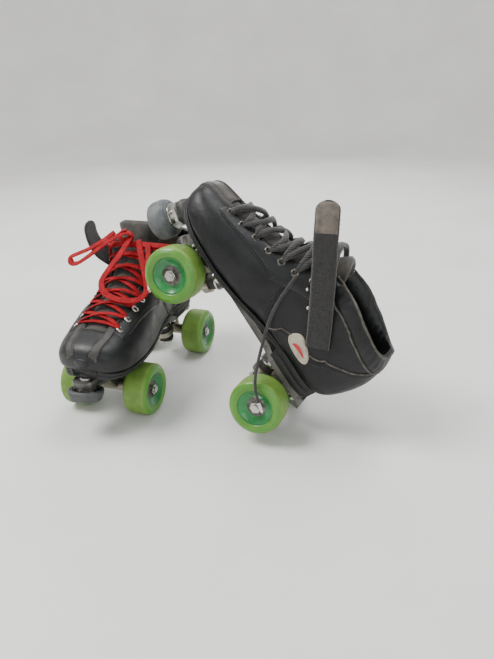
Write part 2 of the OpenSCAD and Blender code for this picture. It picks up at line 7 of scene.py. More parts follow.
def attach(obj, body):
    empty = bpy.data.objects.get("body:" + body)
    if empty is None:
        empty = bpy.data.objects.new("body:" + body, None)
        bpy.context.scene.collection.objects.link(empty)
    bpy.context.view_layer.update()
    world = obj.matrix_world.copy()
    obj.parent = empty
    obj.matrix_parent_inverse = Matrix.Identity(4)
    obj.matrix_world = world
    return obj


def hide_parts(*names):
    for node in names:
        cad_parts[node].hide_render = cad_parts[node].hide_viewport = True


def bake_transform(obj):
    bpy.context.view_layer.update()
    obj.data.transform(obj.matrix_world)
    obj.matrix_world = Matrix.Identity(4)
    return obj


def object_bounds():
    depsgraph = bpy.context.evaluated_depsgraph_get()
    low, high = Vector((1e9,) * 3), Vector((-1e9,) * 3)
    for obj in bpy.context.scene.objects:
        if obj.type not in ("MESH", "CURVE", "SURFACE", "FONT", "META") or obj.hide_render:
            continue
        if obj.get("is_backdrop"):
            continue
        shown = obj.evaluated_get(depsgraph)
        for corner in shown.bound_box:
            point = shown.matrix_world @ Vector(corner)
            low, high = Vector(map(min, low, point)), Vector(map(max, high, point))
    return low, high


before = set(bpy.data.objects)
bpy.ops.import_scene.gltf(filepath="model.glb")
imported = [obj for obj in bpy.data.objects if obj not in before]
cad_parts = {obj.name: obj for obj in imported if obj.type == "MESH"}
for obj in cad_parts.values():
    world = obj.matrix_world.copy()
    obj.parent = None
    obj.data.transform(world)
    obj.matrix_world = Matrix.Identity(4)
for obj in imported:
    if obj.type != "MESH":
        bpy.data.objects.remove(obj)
cad_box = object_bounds()

# ---------------------------------------------------------------- camera
cam = bpy.data.cameras.new("camera"); cam.lens = 32.204; cam.sensor_fit = "AUTO"; cam.sensor_width = 36
cam.clip_start = 0.01
camo = bpy.data.objects.new("camera", cam); bpy.context.collection.objects.link(camo)
cr, cu, cb = (-0.31107919, 0.95001589, -0.02644905), (-0.40812492, -0.10840237, 0.9064673), (0.8582912, 0.29277763, 0.42144688)
camo.matrix_world = Matrix([(cr[i], cu[i], cb[i], (0.606865, 0.22449, 0.38935)[i]) for i in range(3)] + [(0, 0, 0, 1)])
bpy.context.scene.camera = camo
ST = np.array([
  [150, 89, 151, 99, 8, 0.50, 2.4, 2.2, -7],
  [147, 82.5, 148, 106, 23, 0.45, 3.0, 2.2, -6.5],
  [140.5, 78, 140.5, 111.5, 34, 0.42, 3.6, 2.2, -6],
  [127, 74.2, 124, 116, 42, 0.40, 4.4, 2.1, -5],
  [107, 72, 103, 121, 46.5, 0.38, 5.0, 2.1, -3.5],
  [82, 72, 79, 129, 48, 0.36, 5.2, 2.1, -2],
  [56, 72, 56, 139, 46, 0.36, 5.2, 2.0, -1],
  [30, 73.5, 36, 150, 42, 0.38, 5.4, 2.0, 0],
  [4, 77, 23, 162, 38, 0.42, 5.5, 2.0, 0],
  [-24, 81, 15, 171, 36.5, 0.45, 5.5, 2.1, 0],
  [-54, 83, 10, 178, 36, 0.46, 5.5, 2.2, 0],
  [-82, 83, 6, 183, 35.5, 0.46, 5.2, 2.2, 0],
  [-104, 84, 3, 188, 35, 0.47, 4.0, 2.3, 0],
  [-116, 91, 1, 192, 34.5, 0.48, 3.0, 2.3, 0],
  [-122, 105, -1, 195, 34.5, 0.50, 2.5, 2.4, 0],
  [-125, 123, -3, 198, 35, 0.52, 2.4, 2.4, 0],
  [-124, 142, -5, 201, 36.5, 0.54, 2.4, 2.4, 0],
  [-119, 160, -7, 204, 38, 0.55, 2.4, 2.4, 0],
  [-111, 176, -9, 207, 39, 0.55, 2.4, 2.4, 0],
  [-106, 190, -11, 213, 40, 0.55, 2.4, 2.4, 0],
  [-104, 205, -13, 221, 40, 0.55, 2.4, 2.4, 0]], float)
TH = np.array([6, 8, 11, 15, 20, 22, 23, 23.5, 24, 24, 24, 24, 24, 24, 24, 24, 24, 24, 24, 24, 24], float)
COL = np.array([[0, 12.0], [0.03, 12.8], [0.08, 13.6], [0.17, 14.8], [0.27, 15.7], [0.37, 16.3],
       [0.47, 16.8], [0.6, 17.1], [0.75, 17.4], [0.88, 17.7], [1, 18]])
SKATE = {"right": (1.0, (64, 20)), "left": (0.6, (16, 5))}
LEATHER = 4.5

def at(tab, s):
    s = np.asarray(s, float); n = len(tab); i = np.floor(s).astype(int); u = s - i
    g = lambda k: tab[np.clip(i + k, 0, n - 1)]
    if tab.ndim == 2: u = u[..., None]
    a, b, c, d = g(-1), g(0), g(1), g(2)
    return 0.5 * (2 * b + (c - a) * u + (2 * a - 5 * b + 4 * c - d) * u**2 + (3 * b - a - 3 * c + d) * u**3)

def pw(v, e): return np.where(v <= 0, 0.0, np.abs(np.maximum(v, 1e-12)) ** e)
def ease(u):
    v = np.clip(u, 0, 1); return v * v * (3 - 2 * v)

class Boot:
    def __init__(self, side):
        self.sp, self.leaf = SKATE[side]
        c = np.linspace(0, 1, 401); v = np.interp(c, COL[:, 0], COL[:, 1])
        k = 14; w = np.hanning(2 * k + 1); w /= w.sum()
        sm = np.convolve(np.pad(v, k, mode="edge"), w, mode="valid")
        sm = np.minimum(sm, v + 0.25)
        self.cc, self.cv = c, sm
    def flare(self, s): return self.sp * np.maximum(0, (np.asarray(s, float) - 9) / 8) ** 1.5
    def half_w(self, s): return at(ST, s)[..., 4] + 9 * self.flare(s)
    def throat_w(self, s): return at(TH, s) + 5 * self.flare(s)
    def skin(self, s, th, sy, off=0.0, lean=1.0):
        s, th, sy, off = np.broadcast_arrays(np.asarray(s, float), np.asarray(th, float), np.asarray(sy, float), np.asarray(off, float))
        q = at(ST, s); b = q[..., 0:2]; f = q[..., 2:4]
        ln = np.linalg.norm(f - b, axis=-1); d = (f - b) / ln[..., None]
        r = np.radians(th); m = np.where(th < 0, q[..., 6], q[..., 7])
        l2 = ln - 2 * off
        t = q[..., 5] + np.where(th < 0, -q[..., 5] * pw(-np.sin(r), 2 / m), (1 - q[..., 5]) * pw(np.sin(r), 2 / m))
        p = b + d * (off + l2 * t)[..., None]
        lf = np.where(sy > 0, self.leaf[1], self.leaf[0])
        lo = np.where(th <= 0, 0.0, lf * ease((s - 7.5) / 5) * np.sin(r) ** 2 * ease((90 - th) / 22))
        y = q[..., 8] + sy * ((self.half_w(s) - off) * pw(np.cos(r), 2 / m) + lean * lo)
        return np.stack([p[..., 0], y, p[..., 1]], -1)
    def side_angle(self, s, w):
        return np.degrees(np.arccos(pw(np.minimum(0.97, w / self.half_w(s)), at(ST, s)[..., 7] / 2)))
    def edge_angle(self, s): return self.side_angle(s, self.throat_w(s))
    def col_angle(self, s, c):
        e = self.edge_angle(s); return e - c * (e + 90)
    def col_end(self, c): return np.interp(c, self.cc, self.cv)
    def row_s(self, r, c):
        r, c = np.broadcast_arrays(np.asarray(r, float), np.asarray(c, float))
        return np.where(r <= 9, r, 9 + (r - 9) * (self.col_end(c) - 9) / 9)
    def sc(self, s, c, sy, off=0.0):
        """point of the skin at station s and girth share c"""
        return self.skin(s, self.col_angle(s, c), sy, off)

# ------------------------------------------------------- frames and helpers
SHIFT = np.array([17.555, 133.4, 0]); LP = np.array([48.3, 117.1, 86.5])
def _rot(a, k):
    a = math.radians(a); c, s = math.cos(a), math.sin(a)
    return np.array({"z": [[c, -s, 0], [s, c, 0], [0, 0, 1]], "y": [[c, 0, s], [0, 1, 0], [-s, 0, c]],
                     "x": [[1, 0, 0], [0, c, -s], [0, s, c]]}[k])
RL = _rot(-102.6, "z") @ _rot(-52.9, "y") @ _rot(13.1, "x")
def W(side, P):
    P = np.asarray(P, float)
    q = P * [1, -1, 1] - SHIFT if side == "right" else P @ RL.T + LP - SHIFT
    return q / 1000
def build(name, side, V, F, mats, midx=None, uv=None, smooth=True, ride=None):
    V = W(side, np.asarray(V, float).reshape(-1, 3))
    if side == "right":
        F = [tuple(reversed(f)) for f in F]
    me = bpy.data.meshes.new(name); me.from_pydata(V.tolist(), [], [tuple(map(int, f)) for f in F])
    o = bpy.data.objects.new(name, me); bpy.context.collection.objects.link(o)
    for m in (mats if isinstance(mats, (list, tuple)) else [mats]):
        me.materials.append(m)
    if midx is not None:
        me.polygons.foreach_set("material_index", np.asarray(midx, "i"))
    me.polygons.foreach_set("use_smooth", [smooth] * len(me.polygons))
    if uv is not None:
        L = me.uv_layers.new(name="uv"); uv = np.asarray(uv, float).reshape(-1, 2)
        L.data.foreach_set("uv", uv[[v for p in me.polygons for v in p.vertices]].ravel())
    me.update()
    if ride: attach(o, ride)
    return o
def quads(n, m, cu=False, cv=False, base=0):
    return [(base + i * m + j, base + ((i + 1) % n) * m + j, base + ((i + 1) % n) * m + (j + 1) % m, base + i * m + (j + 1) % m)
            for i in range(n if cu else n - 1) for j in range(m if cv else m - 1)]
def unit(v): return v / np.maximum(1e-9, np.linalg.norm(v, axis=-1, keepdims=True))
def catmull(P, step=2.0):
    P = np.asarray(P, float); out = []
    Q = np.vstack([2 * P[0] - P[1], P, 2 * P[-1] - P[-2]])
    for i in range(1, len(Q) - 2):
        n = max(2, int(np.linalg.norm(Q[i + 1] - Q[i]) / step) + 1)
        t = np.linspace(0, 1, n, endpoint=False)[:, None]
        a, b, c, d = Q[i - 1], Q[i], Q[i + 1], Q[i + 2]
        out.append(0.5 * (2 * b + (c - a) * t + (2 * a - 5 * b + 4 * c - d) * t**2 + (3 * b - a - 3 * c + d) * t**3))
    return np.vstack(out + [P[-1:]])
def arclen(P): return np.concatenate([[0], np.cumsum(np.linalg.norm(np.diff(P, axis=0), axis=1))])
def sweep(name, side, P, w, t, N, mat, ride=None, n=12, sq=0.5, taper=None):
    """band or tube: section w wide and t thick, N the direction of its thickness"""
    P = np.asarray(P, float); T = unit(np.gradient(P, axis=0)); N = np.broadcast_to(np.asarray(N, float), P.shape)
    B_ = unit(np.cross(N, T)); N2 = unit(np.cross(T, B_)); a = np.linspace(0, 2 * np.pi, n, endpoint=False)
    ca, sa = np.cos(a), np.sin(a)
    cx = np.sign(ca) * np.abs(ca) ** sq * w / 2; cy = np.sign(sa) * np.abs(sa) ** (sq + 0.2) * t / 2
    k = np.ones(len(P)) if taper is None else np.asarray(taper)
    V = P[:, None] + (B_[:, None] * cx[None, :, None] + N2[:, None] * cy[None, :, None]) * k[:, None, None]
    L = arclen(P); uv = np.stack(np.broadcast_arrays(L[:, None] / 1000, (cx / 1000)[None]), -1)
    m = len(P); F = quads(m, n, cv=True) + [tuple(range(n)), tuple((m - 1) * n + np.arange(n)[::-1])]
    F = [f[::-1] for f in F]
    return build(name, side, V, F, mat, uv=uv, ride=ride)
def lathe(name, side, prof, c, axis, mats, n=128, ride=None, midx=None, closed=True):
    prof = np.asarray(prof, float); a = unit(np.asarray(axis, float)); u = unit(np.cross(a, [0.3, 0.2, 0.91])); v = np.cross(a, u)
    th = np.linspace(0, 2 * np.pi, n, endpoint=False)
    V = np.asarray(c) + a * prof[None, :, 1, None] + (u * np.cos(th)[:, None, None] + v * np.sin(th)[:, None, None]) * prof[None, :, 0, None]
    k = len(prof); F = quads(n, k, cu=True, cv=closed)
    o = build(name, side, V, F, mats, ride=ride)
    if midx is not None:
        o.data.polygons.foreach_set("material_index", [midx[j] for i in range(n) for j in range(k if closed else k - 1)])
    return o

# ---------------------------------------------------------------- materials
def mat(name, c1, c2, rough=(0.45, 0.6), metal=0.0, cs=40, bump=(), wear=None, uvb=None, **kw):
    """c1..c2 mottled at scale cs; bump a list of (kind, scale, distance in mm, strength); wear: colour of worn edges"""
    m = bpy.data.materials.new(name); m.use_nodes = True; nt = m.node_tree; N, L = nt.nodes, nt.links
    b = N["Principled BSDF"]; tc = N.new("ShaderNodeTexCoord")
    def noise(scale, det=6, rg=0.6):
        x = N.new("ShaderNodeTexNoise"); x.inputs["Scale"].default_value = scale; x.inputs["Detail"].default_value = det
        x.inputs["Roughness"].default_value = rg; L.new(tc.outputs["Object"], x.inputs["Vector"]); return x
    n1 = noise(cs); r = N.new("ShaderNodeValToRGB"); L.new(n1.outputs["Fac"], r.inputs["Fac"])
    r.color_ramp.elements[0].position = 0.36; r.color_ramp.elements[1].position = 0.66
    r.color_ramp.elements[0].color = (*c1, 1); r.color_ramp.elements[1].color = (*c2, 1); col = r.outputs["Color"]
    if wear:
        g = N.new("ShaderNodeNewGeometry"); mr = N.new("ShaderNodeMapRange")
        mr.inputs["From Min"].default_value = wear[1]; mr.inputs["From Max"].default_value = wear[2]
        L.new(g.outputs["Pointiness"], mr.inputs["Value"]); n3 = noise(cs * 7, 8, 0.7)
        mu = N.new("ShaderNodeMath"); mu.operation = "MULTIPLY"; L.new(mr.outputs["Result"], mu.inputs[0]); L.new(n3.outputs["Fac"], mu.inputs[1])
        n4 = noise(cs * 2.2, 10, 0.75); m4 = N.new("ShaderNodeMapRange"); m4.inputs["From Min"].default_value = 0.6; m4.inputs["From Max"].default_value = 0.78
        m4.inputs["To Max"].default_value = 0.45; L.new(n4.outputs["Fac"], m4.inputs["Value"])
        ad = N.new("ShaderNodeMath"); ad.operation = "ADD"; ad.use_clamp = True; L.new(mu.outputs[0], ad.inputs[0]); L.new(m4.outputs["Result"], ad.inputs[1])
        mx = N.new("ShaderNodeMix"); mx.data_type = "RGBA"; L.new(ad.outputs[0], mx.inputs["Factor"]); L.new(col, mx.inputs[6]); mx.inputs[7].default_value = (*wear[0], 1)
        col = mx.outputs[2]
    L.new(col, b.inputs["Base Color"])
    n2 = noise(cs * 3.1); mr = N.new("ShaderNodeMapRange"); mr.inputs["From Min"].default_value = 0.3; mr.inputs["From Max"].default_value = 0.7
    mr.inputs["To Min"].default_value, mr.inputs["To Max"].default_value = rough
    L.new(n2.outputs["Fac"], mr.inputs["Value"]); L.new(mr.outputs["Result"], b.inputs["Roughness"])
    prev = None
    for kind, scale, dist, st in bump:
        if kind == "noise": h = noise(scale, 5).outputs["Fac"]
        elif kind == "cells":
            x = N.new("ShaderNodeTexVoronoi"); x.inputs["Scale"].default_value = scale; L.new(tc.outputs["Object"], x.inputs["Vector"]); h = x.outputs["Distance"]
        else:
            x = N.new("ShaderNodeTexWave"); x.wave_type = "BANDS"; x.bands_direction = {"u": "X", "v": "Y", "d": "DIAGONAL"}[kind]
            x.inputs["Scale"].default_value = scale; x.inputs["Distortion"].default_value = 0.6
            x.inputs["Detail Scale"].default_value = 2; L.new(tc.outputs["UV"], x.inputs["Vector"]); h = x.outputs["Fac"]
        bp = N.new("ShaderNodeBump"); bp.inputs["Distance"].default_value = dist / 1000; bp.inputs["Strength"].default_value = st
        L.new(h, bp.inputs["Height"])
        if prev: L.new(prev.outputs["Normal"], bp.inputs["Normal"])
        prev = bp
    if prev: L.new(prev.outputs["Normal"], b.inputs["Normal"])
    b.inputs["Metallic"].default_value = metal
    for k, v in kw.items(): b.inputs[k.replace("_", " ")].default_value = v
    return m
GR = (("cells", 900, 0.25, 0.45), ("noise", 260, 0.5, 0.35), ("noise", 45, 1.5, 0.3))
BL = (0.028, 0.027, 0.025)
m_leather = mat("leather", (0.0035, 0.004, 0.0046), (0.009, 0.0098, 0.0102), (0.32, 0.5), cs=28, bump=GR, wear=(BL, 0.53, 0.62), Specular_IOR_Level=0.35)
m_toe = mat("toe_leather", (0.006, 0.007, 0.008), (0.018, 0.0185, 0.0185), (0.36, 0.55), cs=34, bump=GR, wear=((0.075, 0.07, 0.062), 0.53, 0.62))
m_toe_l = mat("toe_leather_worn", (0.02, 0.018, 0.015), (0.075, 0.064, 0.05), (0.4, 0.6), cs=40, bump=GR, wear=((0.12, 0.1, 0.08), 0.53, 0.62))
m_edge = mat("leather_edge", (0.014, 0.012, 0.011), (0.035, 0.031, 0.027), (0.6, 0.8), cs=120, bump=(("noise", 600, 0.4, 0.5),))
m_strip = mat("strip_leather", (0.022, 0.021, 0.019), (0.05, 0.047, 0.042), (0.5, 0.7), cs=60, bump=GR, wear=((0.10, 0.095, 0.085), 0.53, 0.6))
m_lining = mat("lining", (0.012, 0.012, 0.012), (0.03, 0.028, 0.026), (0.7, 0.9), cs=60, bump=(("noise", 900, 0.4, 0.6),), Sheen_Weight=0.3)
m_suede = mat("suede", (0.09, 0.062, 0.042), (0.19, 0.13, 0.09), (0.8, 0.95), cs=55, bump=(("noise", 1200, 0.4, 0.7), ("noise", 120, 0.8, 0.4)), Sheen_Weight=0.4)
m_tongue = mat("tongue_suede", (0.014, 0.0125, 0.011), (0.065, 0.056, 0.046), (0.7, 0.9), cs=45, bump=(("noise", 1100, 0.4, 0.6), ("noise", 90, 1.2, 0.5)), wear=((0.11, 0.095, 0.08), 0.52, 0.6), Sheen_Weight=0.2)
m_piping = mat("piping", (0.035, 0.032, 0.028), (0.10, 0.09, 0.075), (0.55, 0.75), cs=160, bump=(("noise", 900, 0.3, 0.5),))
m_thread = mat("thread", (0.012, 0.012, 0.012), (0.04, 0.038, 0.035), (0.6, 0.8), cs=300, bump=(("noise", 2500, 0.1, 0.6),))
m_web = mat("webbing", (0.003, 0.003, 0.0032), (0.012, 0.011, 0.010), (0.8, 0.95), cs=200, bump=(("v", 300, 0.25, 0.35), ("noise", 1500, 0.9, 0.9), ("noise", 420, 0.9, 0.6)), wear=((0.09, 0.078, 0.062), 0.52, 0.58), Sheen_Weight=0.35)
m_hook = mat("hook_patch", (0.07, 0.058, 0.046), (0.16, 0.132, 0.105), (0.8, 0.95), cs=90, bump=(("cells", 1500, 0.7, 0.9), ("noise", 150, 0.6, 0.4)), Sheen_Weight=0.4)
m_red = mat("lace_red", (0.22, 0.0012, 0.004), (0.38, 0.004, 0.010), (0.6, 0.8), cs=120, bump=(("d", 170, 0.35, 0.8), ("v", 260, 0.3, 0.6)), Specular_IOR_Level=0.25)
m_black = mat("lace_black", (0.006, 0.006, 0.006), (0.028, 0.026, 0.023), (0.6, 0.85), cs=150, bump=(("d", 200, 0.35, 0.8),), Sheen_Weight=0.3)
m_aglet = mat("aglet", (0.55, 0.55, 0.55), (0.75, 0.75, 0.74), (0.12, 0.3), cs=200, bump=(("noise", 400, 0.2, 0.3),), metal=0.35, Coat_Weight=0.6)
m_steel = mat("steel", (0.42, 0.41, 0.38), (0.62, 0.61, 0.58), (0.14, 0.34), metal=1.0, cs=90, bump=(("noise", 800, 0.08, 0.4),), wear=((0.75, 0.74, 0.7), 0.53, 0.62))
m_eye = mat("eyelet_metal", (0.5, 0.47, 0.4), (0.74, 0.72, 0.66), (0.18, 0.4), metal=1.0, cs=150, bump=(("noise", 900, 0.08, 0.4),))
m_eye2 = mat("eyelet_dark", (0.05, 0.047, 0.04), (0.22, 0.2, 0.17), (0.25, 0.5), metal=1.0, cs=260, bump=(("noise", 900, 0.08, 0.4),))
m_truck = mat("truck_metal", (0.14, 0.12, 0.085), (0.34, 0.31, 0.24), (0.28, 0.55), metal=0.9, cs=70, bump=(("noise", 700, 0.25, 0.5), ("noise", 90, 0.6, 0.3)), wear=((0.55, 0.52, 0.45), 0.53, 0.62))
m_plate = mat("plate_metal", (0.03, 0.03, 0.03), (0.085, 0.083, 0.078), (0.35, 0.6), metal=0.7, cs=50, bump=(("noise", 900, 0.2, 0.5),), wear=((0.3, 0.29, 0.27), 0.53, 0.62))
m_cushion = mat("cushion_rubber", (0.02, 0.018, 0.016), (0.055, 0.05, 0.045), (0.45, 0.65), cs=90, bump=(("noise", 700, 0.2, 0.4),))
m_cup = mat("cup_plastic", (0.02, 0.02, 0.02), (0.05, 0.05, 0.048), (0.4, 0.6), cs=90, bump=(("noise", 900, 0.1, 0.4),))
m_tyre = mat("urethane", (0.06, 0.20, 0.014), (0.10, 0.29, 0.028), (0.25, 0.45), cs=22, bump=(("noise", 500, 0.15, 0.35), ("noise", 60, 0.5, 0.2)), wear=((0.10, 0.13, 0.05), 0.53, 0.66), Subsurface_Weight=0.35, Subsurface_Scale=0.006, Coat_Weight=0.15)
m_tyre.node_tree.nodes["Principled BSDF"].inputs["Subsurface Radius"].default_value = (0.5, 1.0, 0.15)
m_tread = mat("tread", (0.11, 0.215, 0.03), (0.18, 0.31, 0.05), (0.45, 0.7), cs=60, bump=(("noise", 900, 0.3, 0.6), ("noise", 140, 0.5, 0.4)), Subsurface_Weight=0.2, Subsurface_Scale=0.004)
m_core = mat("core", (0.003, 0.12, 0.022), (0.008, 0.21, 0.042), (0.22, 0.42), cs=60, bump=(("noise", 500, 0.15, 0.3),), Coat_Weight=0.3)
m_bearing = mat("bearing", (0.06, 0.055, 0.05), (0.2, 0.19, 0.17), (0.25, 0.5), metal=0.9, cs=200, bump=(("noise", 1200, 0.1, 0.4),))
m_rubber = mat("stop_rubber", (0.032, 0.036, 0.036), (0.075, 0.08, 0.078), (0.5, 0.75), cs=80, bump=(("noise", 900, 0.25, 0.5), ("noise", 70, 0.8, 0.3)), wear=((0.16, 0.17, 0.165), 0.52, 0.6))
m_sole = mat("sole", (0.003, 0.0032, 0.0034), (0.008, 0.008, 0.008), (0.5, 0.7), cs=60, bump=(("noise", 500, 0.3, 0.4),), wear=(BL, 0.53, 0.62))
m_cream = mat("badge_cream", (0.30, 0.265, 0.2), (0.46, 0.42, 0.33), (0.35, 0.55), cs=150, bump=(("noise", 600, 0.15, 0.4),), wear=((0.2, 0.17, 0.12), 0.54, 0.62))
m_badge_red = mat("badge_red", (0.35, 0.012, 0.015), (0.5, 0.03, 0.03), (0.35, 0.5), cs=200, bump=(("noise", 900, 0.1, 0.4),))
m_floor = mat("floor", (0.74, 0.735, 0.72), (0.8, 0.795, 0.78), (0.75, 0.9), cs=4, bump=(("noise", 300, 0.2, 0.2),))

# ------------------------------------------------------------- CAD materials
def node_mat(n, m):
    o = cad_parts[n]
    if not o.data.materials: o.data.materials.append(m)
    for k in range(len(o.material_slots)): o.material_slots[k].material = m
m_stopl = mat("stop_rubber_light", (0.06, 0.068, 0.072), (0.15, 0.16, 0.165), (0.45, 0.7), cs=80, bump=(("noise", 900, 0.25, 0.5), ("noise", 70, 0.8, 0.3)), wear=((0.24, 0.25, 0.25), 0.52, 0.6))
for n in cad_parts:
    for key, m in (("bearings", m_bearing), ("hanger", m_truck), ("axle", m_steel), ("kingpins", m_steel), ("plate_bolts", m_steel), ("stem", m_steel),
                   ("toe_stop", m_rubber), ("cushions", m_cushion), ("pivot_cups", m_cup), ("plate", m_plate), ("outsole", m_sole), ("wheel", m_tyre),
                   ("eyelets", m_eye), ("footbed", m_lining), ("tongue", m_tongue), ("badge", m_cream), ("strap", m_web), ("lace", m_black), ("boot_upper", m_leather)):
        if key in n: node_mat(n, m_stopl if n == "left_toe_stop" else m); break

# --------------------------------------------------------------- free cords
def axis_normal(P, ref): return np.broadcast_to(np.asarray(ref, float), P.shape)
def lace_cord(name, side, pts, w, t, ref, m, exitp=None):
    P = catmull(pts, 1.5); o = sweep(name, side, P, w, t, axis_normal(P, ref), m, ride=side + "_boot", n=12, sq=0.45 if w > 1.5 * t else 1.0)
    return o
def aglet(name, side, a, b, r):
    a, b = np.asarray(a, float), np.asarray(b, float); P = a + (b - a) * np.linspace(0, 1, 9)[:, None]
    return sweep(name, side, P, 2 * r, 2 * r, axis_normal(P, (0.3, 1, 0.2)), m_aglet, ride=side + "_boot", n=16, sq=1.0, taper=[0.6, 0.95, 1, 1, 1, 1, 1, 0.95, 0.6])
TAIL = [[13, 38, 146], [8, 42, 135], [2, 43, 120], [-5, 43, 106], [-15, 42.5, 91], [-28, 44, 76], [-41, 51, 64], [-54, 58.5, 54], [-66, 61.5, 47], [-79, 61.5, 42], [-91, 61, 39]]
LOOP_OUT = [[9, 12, 196], [18, 22, 190], [27, 36, 180], [31, 50, 170], [31, 64, 162], [28, 74, 161], [24, 76, 167], [24, 66, 172], [24, 54, 177], [23, 42, 183], [17, 30, 190], [7, 20, 198]]
LOOP_FRONT = [[9, -4, 196], [22, -2, 187], [36, 2, 176], [50, 9, 164], [62, 12, 154], [71, 6, 146], [75, -7, 141], [74, -22, 138], [68, -36, 138], [58, -42, 143], [46, -38, 152], [33, -29, 163], [20, -20, 176], [9, -12, 190]]
END_OUT = [[12, -26, 186], [22, -31, 178], [33, -35, 169], [44, -39, 159], [54, -45, 149]]
ag1 = aglet("left_aglet", "left", TAIL[-2], TAIL[-1], 1.9)
lace_cord("left_lace_tail", "left", TAIL, 3.4, 2.6, (0, 1, 0.2), m_black)
ag2 = aglet("right_aglet", "right", [50, -43, 152.5], [57, -47, 145.5], 2.3)
lace_cord("right_lace_loop_out", "right", LOOP_OUT, 7.6, 1.8, (0.5, 0, 1), m_red)
lace_cord("right_lace_loop_front", "right", LOOP_FRONT, 7.6, 1.8, (0.7, 0, 1), m_red)
lace_cord("right_lace_end_out", "right", END_OUT, 7.0, 1.8, (0.6, 0.2, 1), m_red)

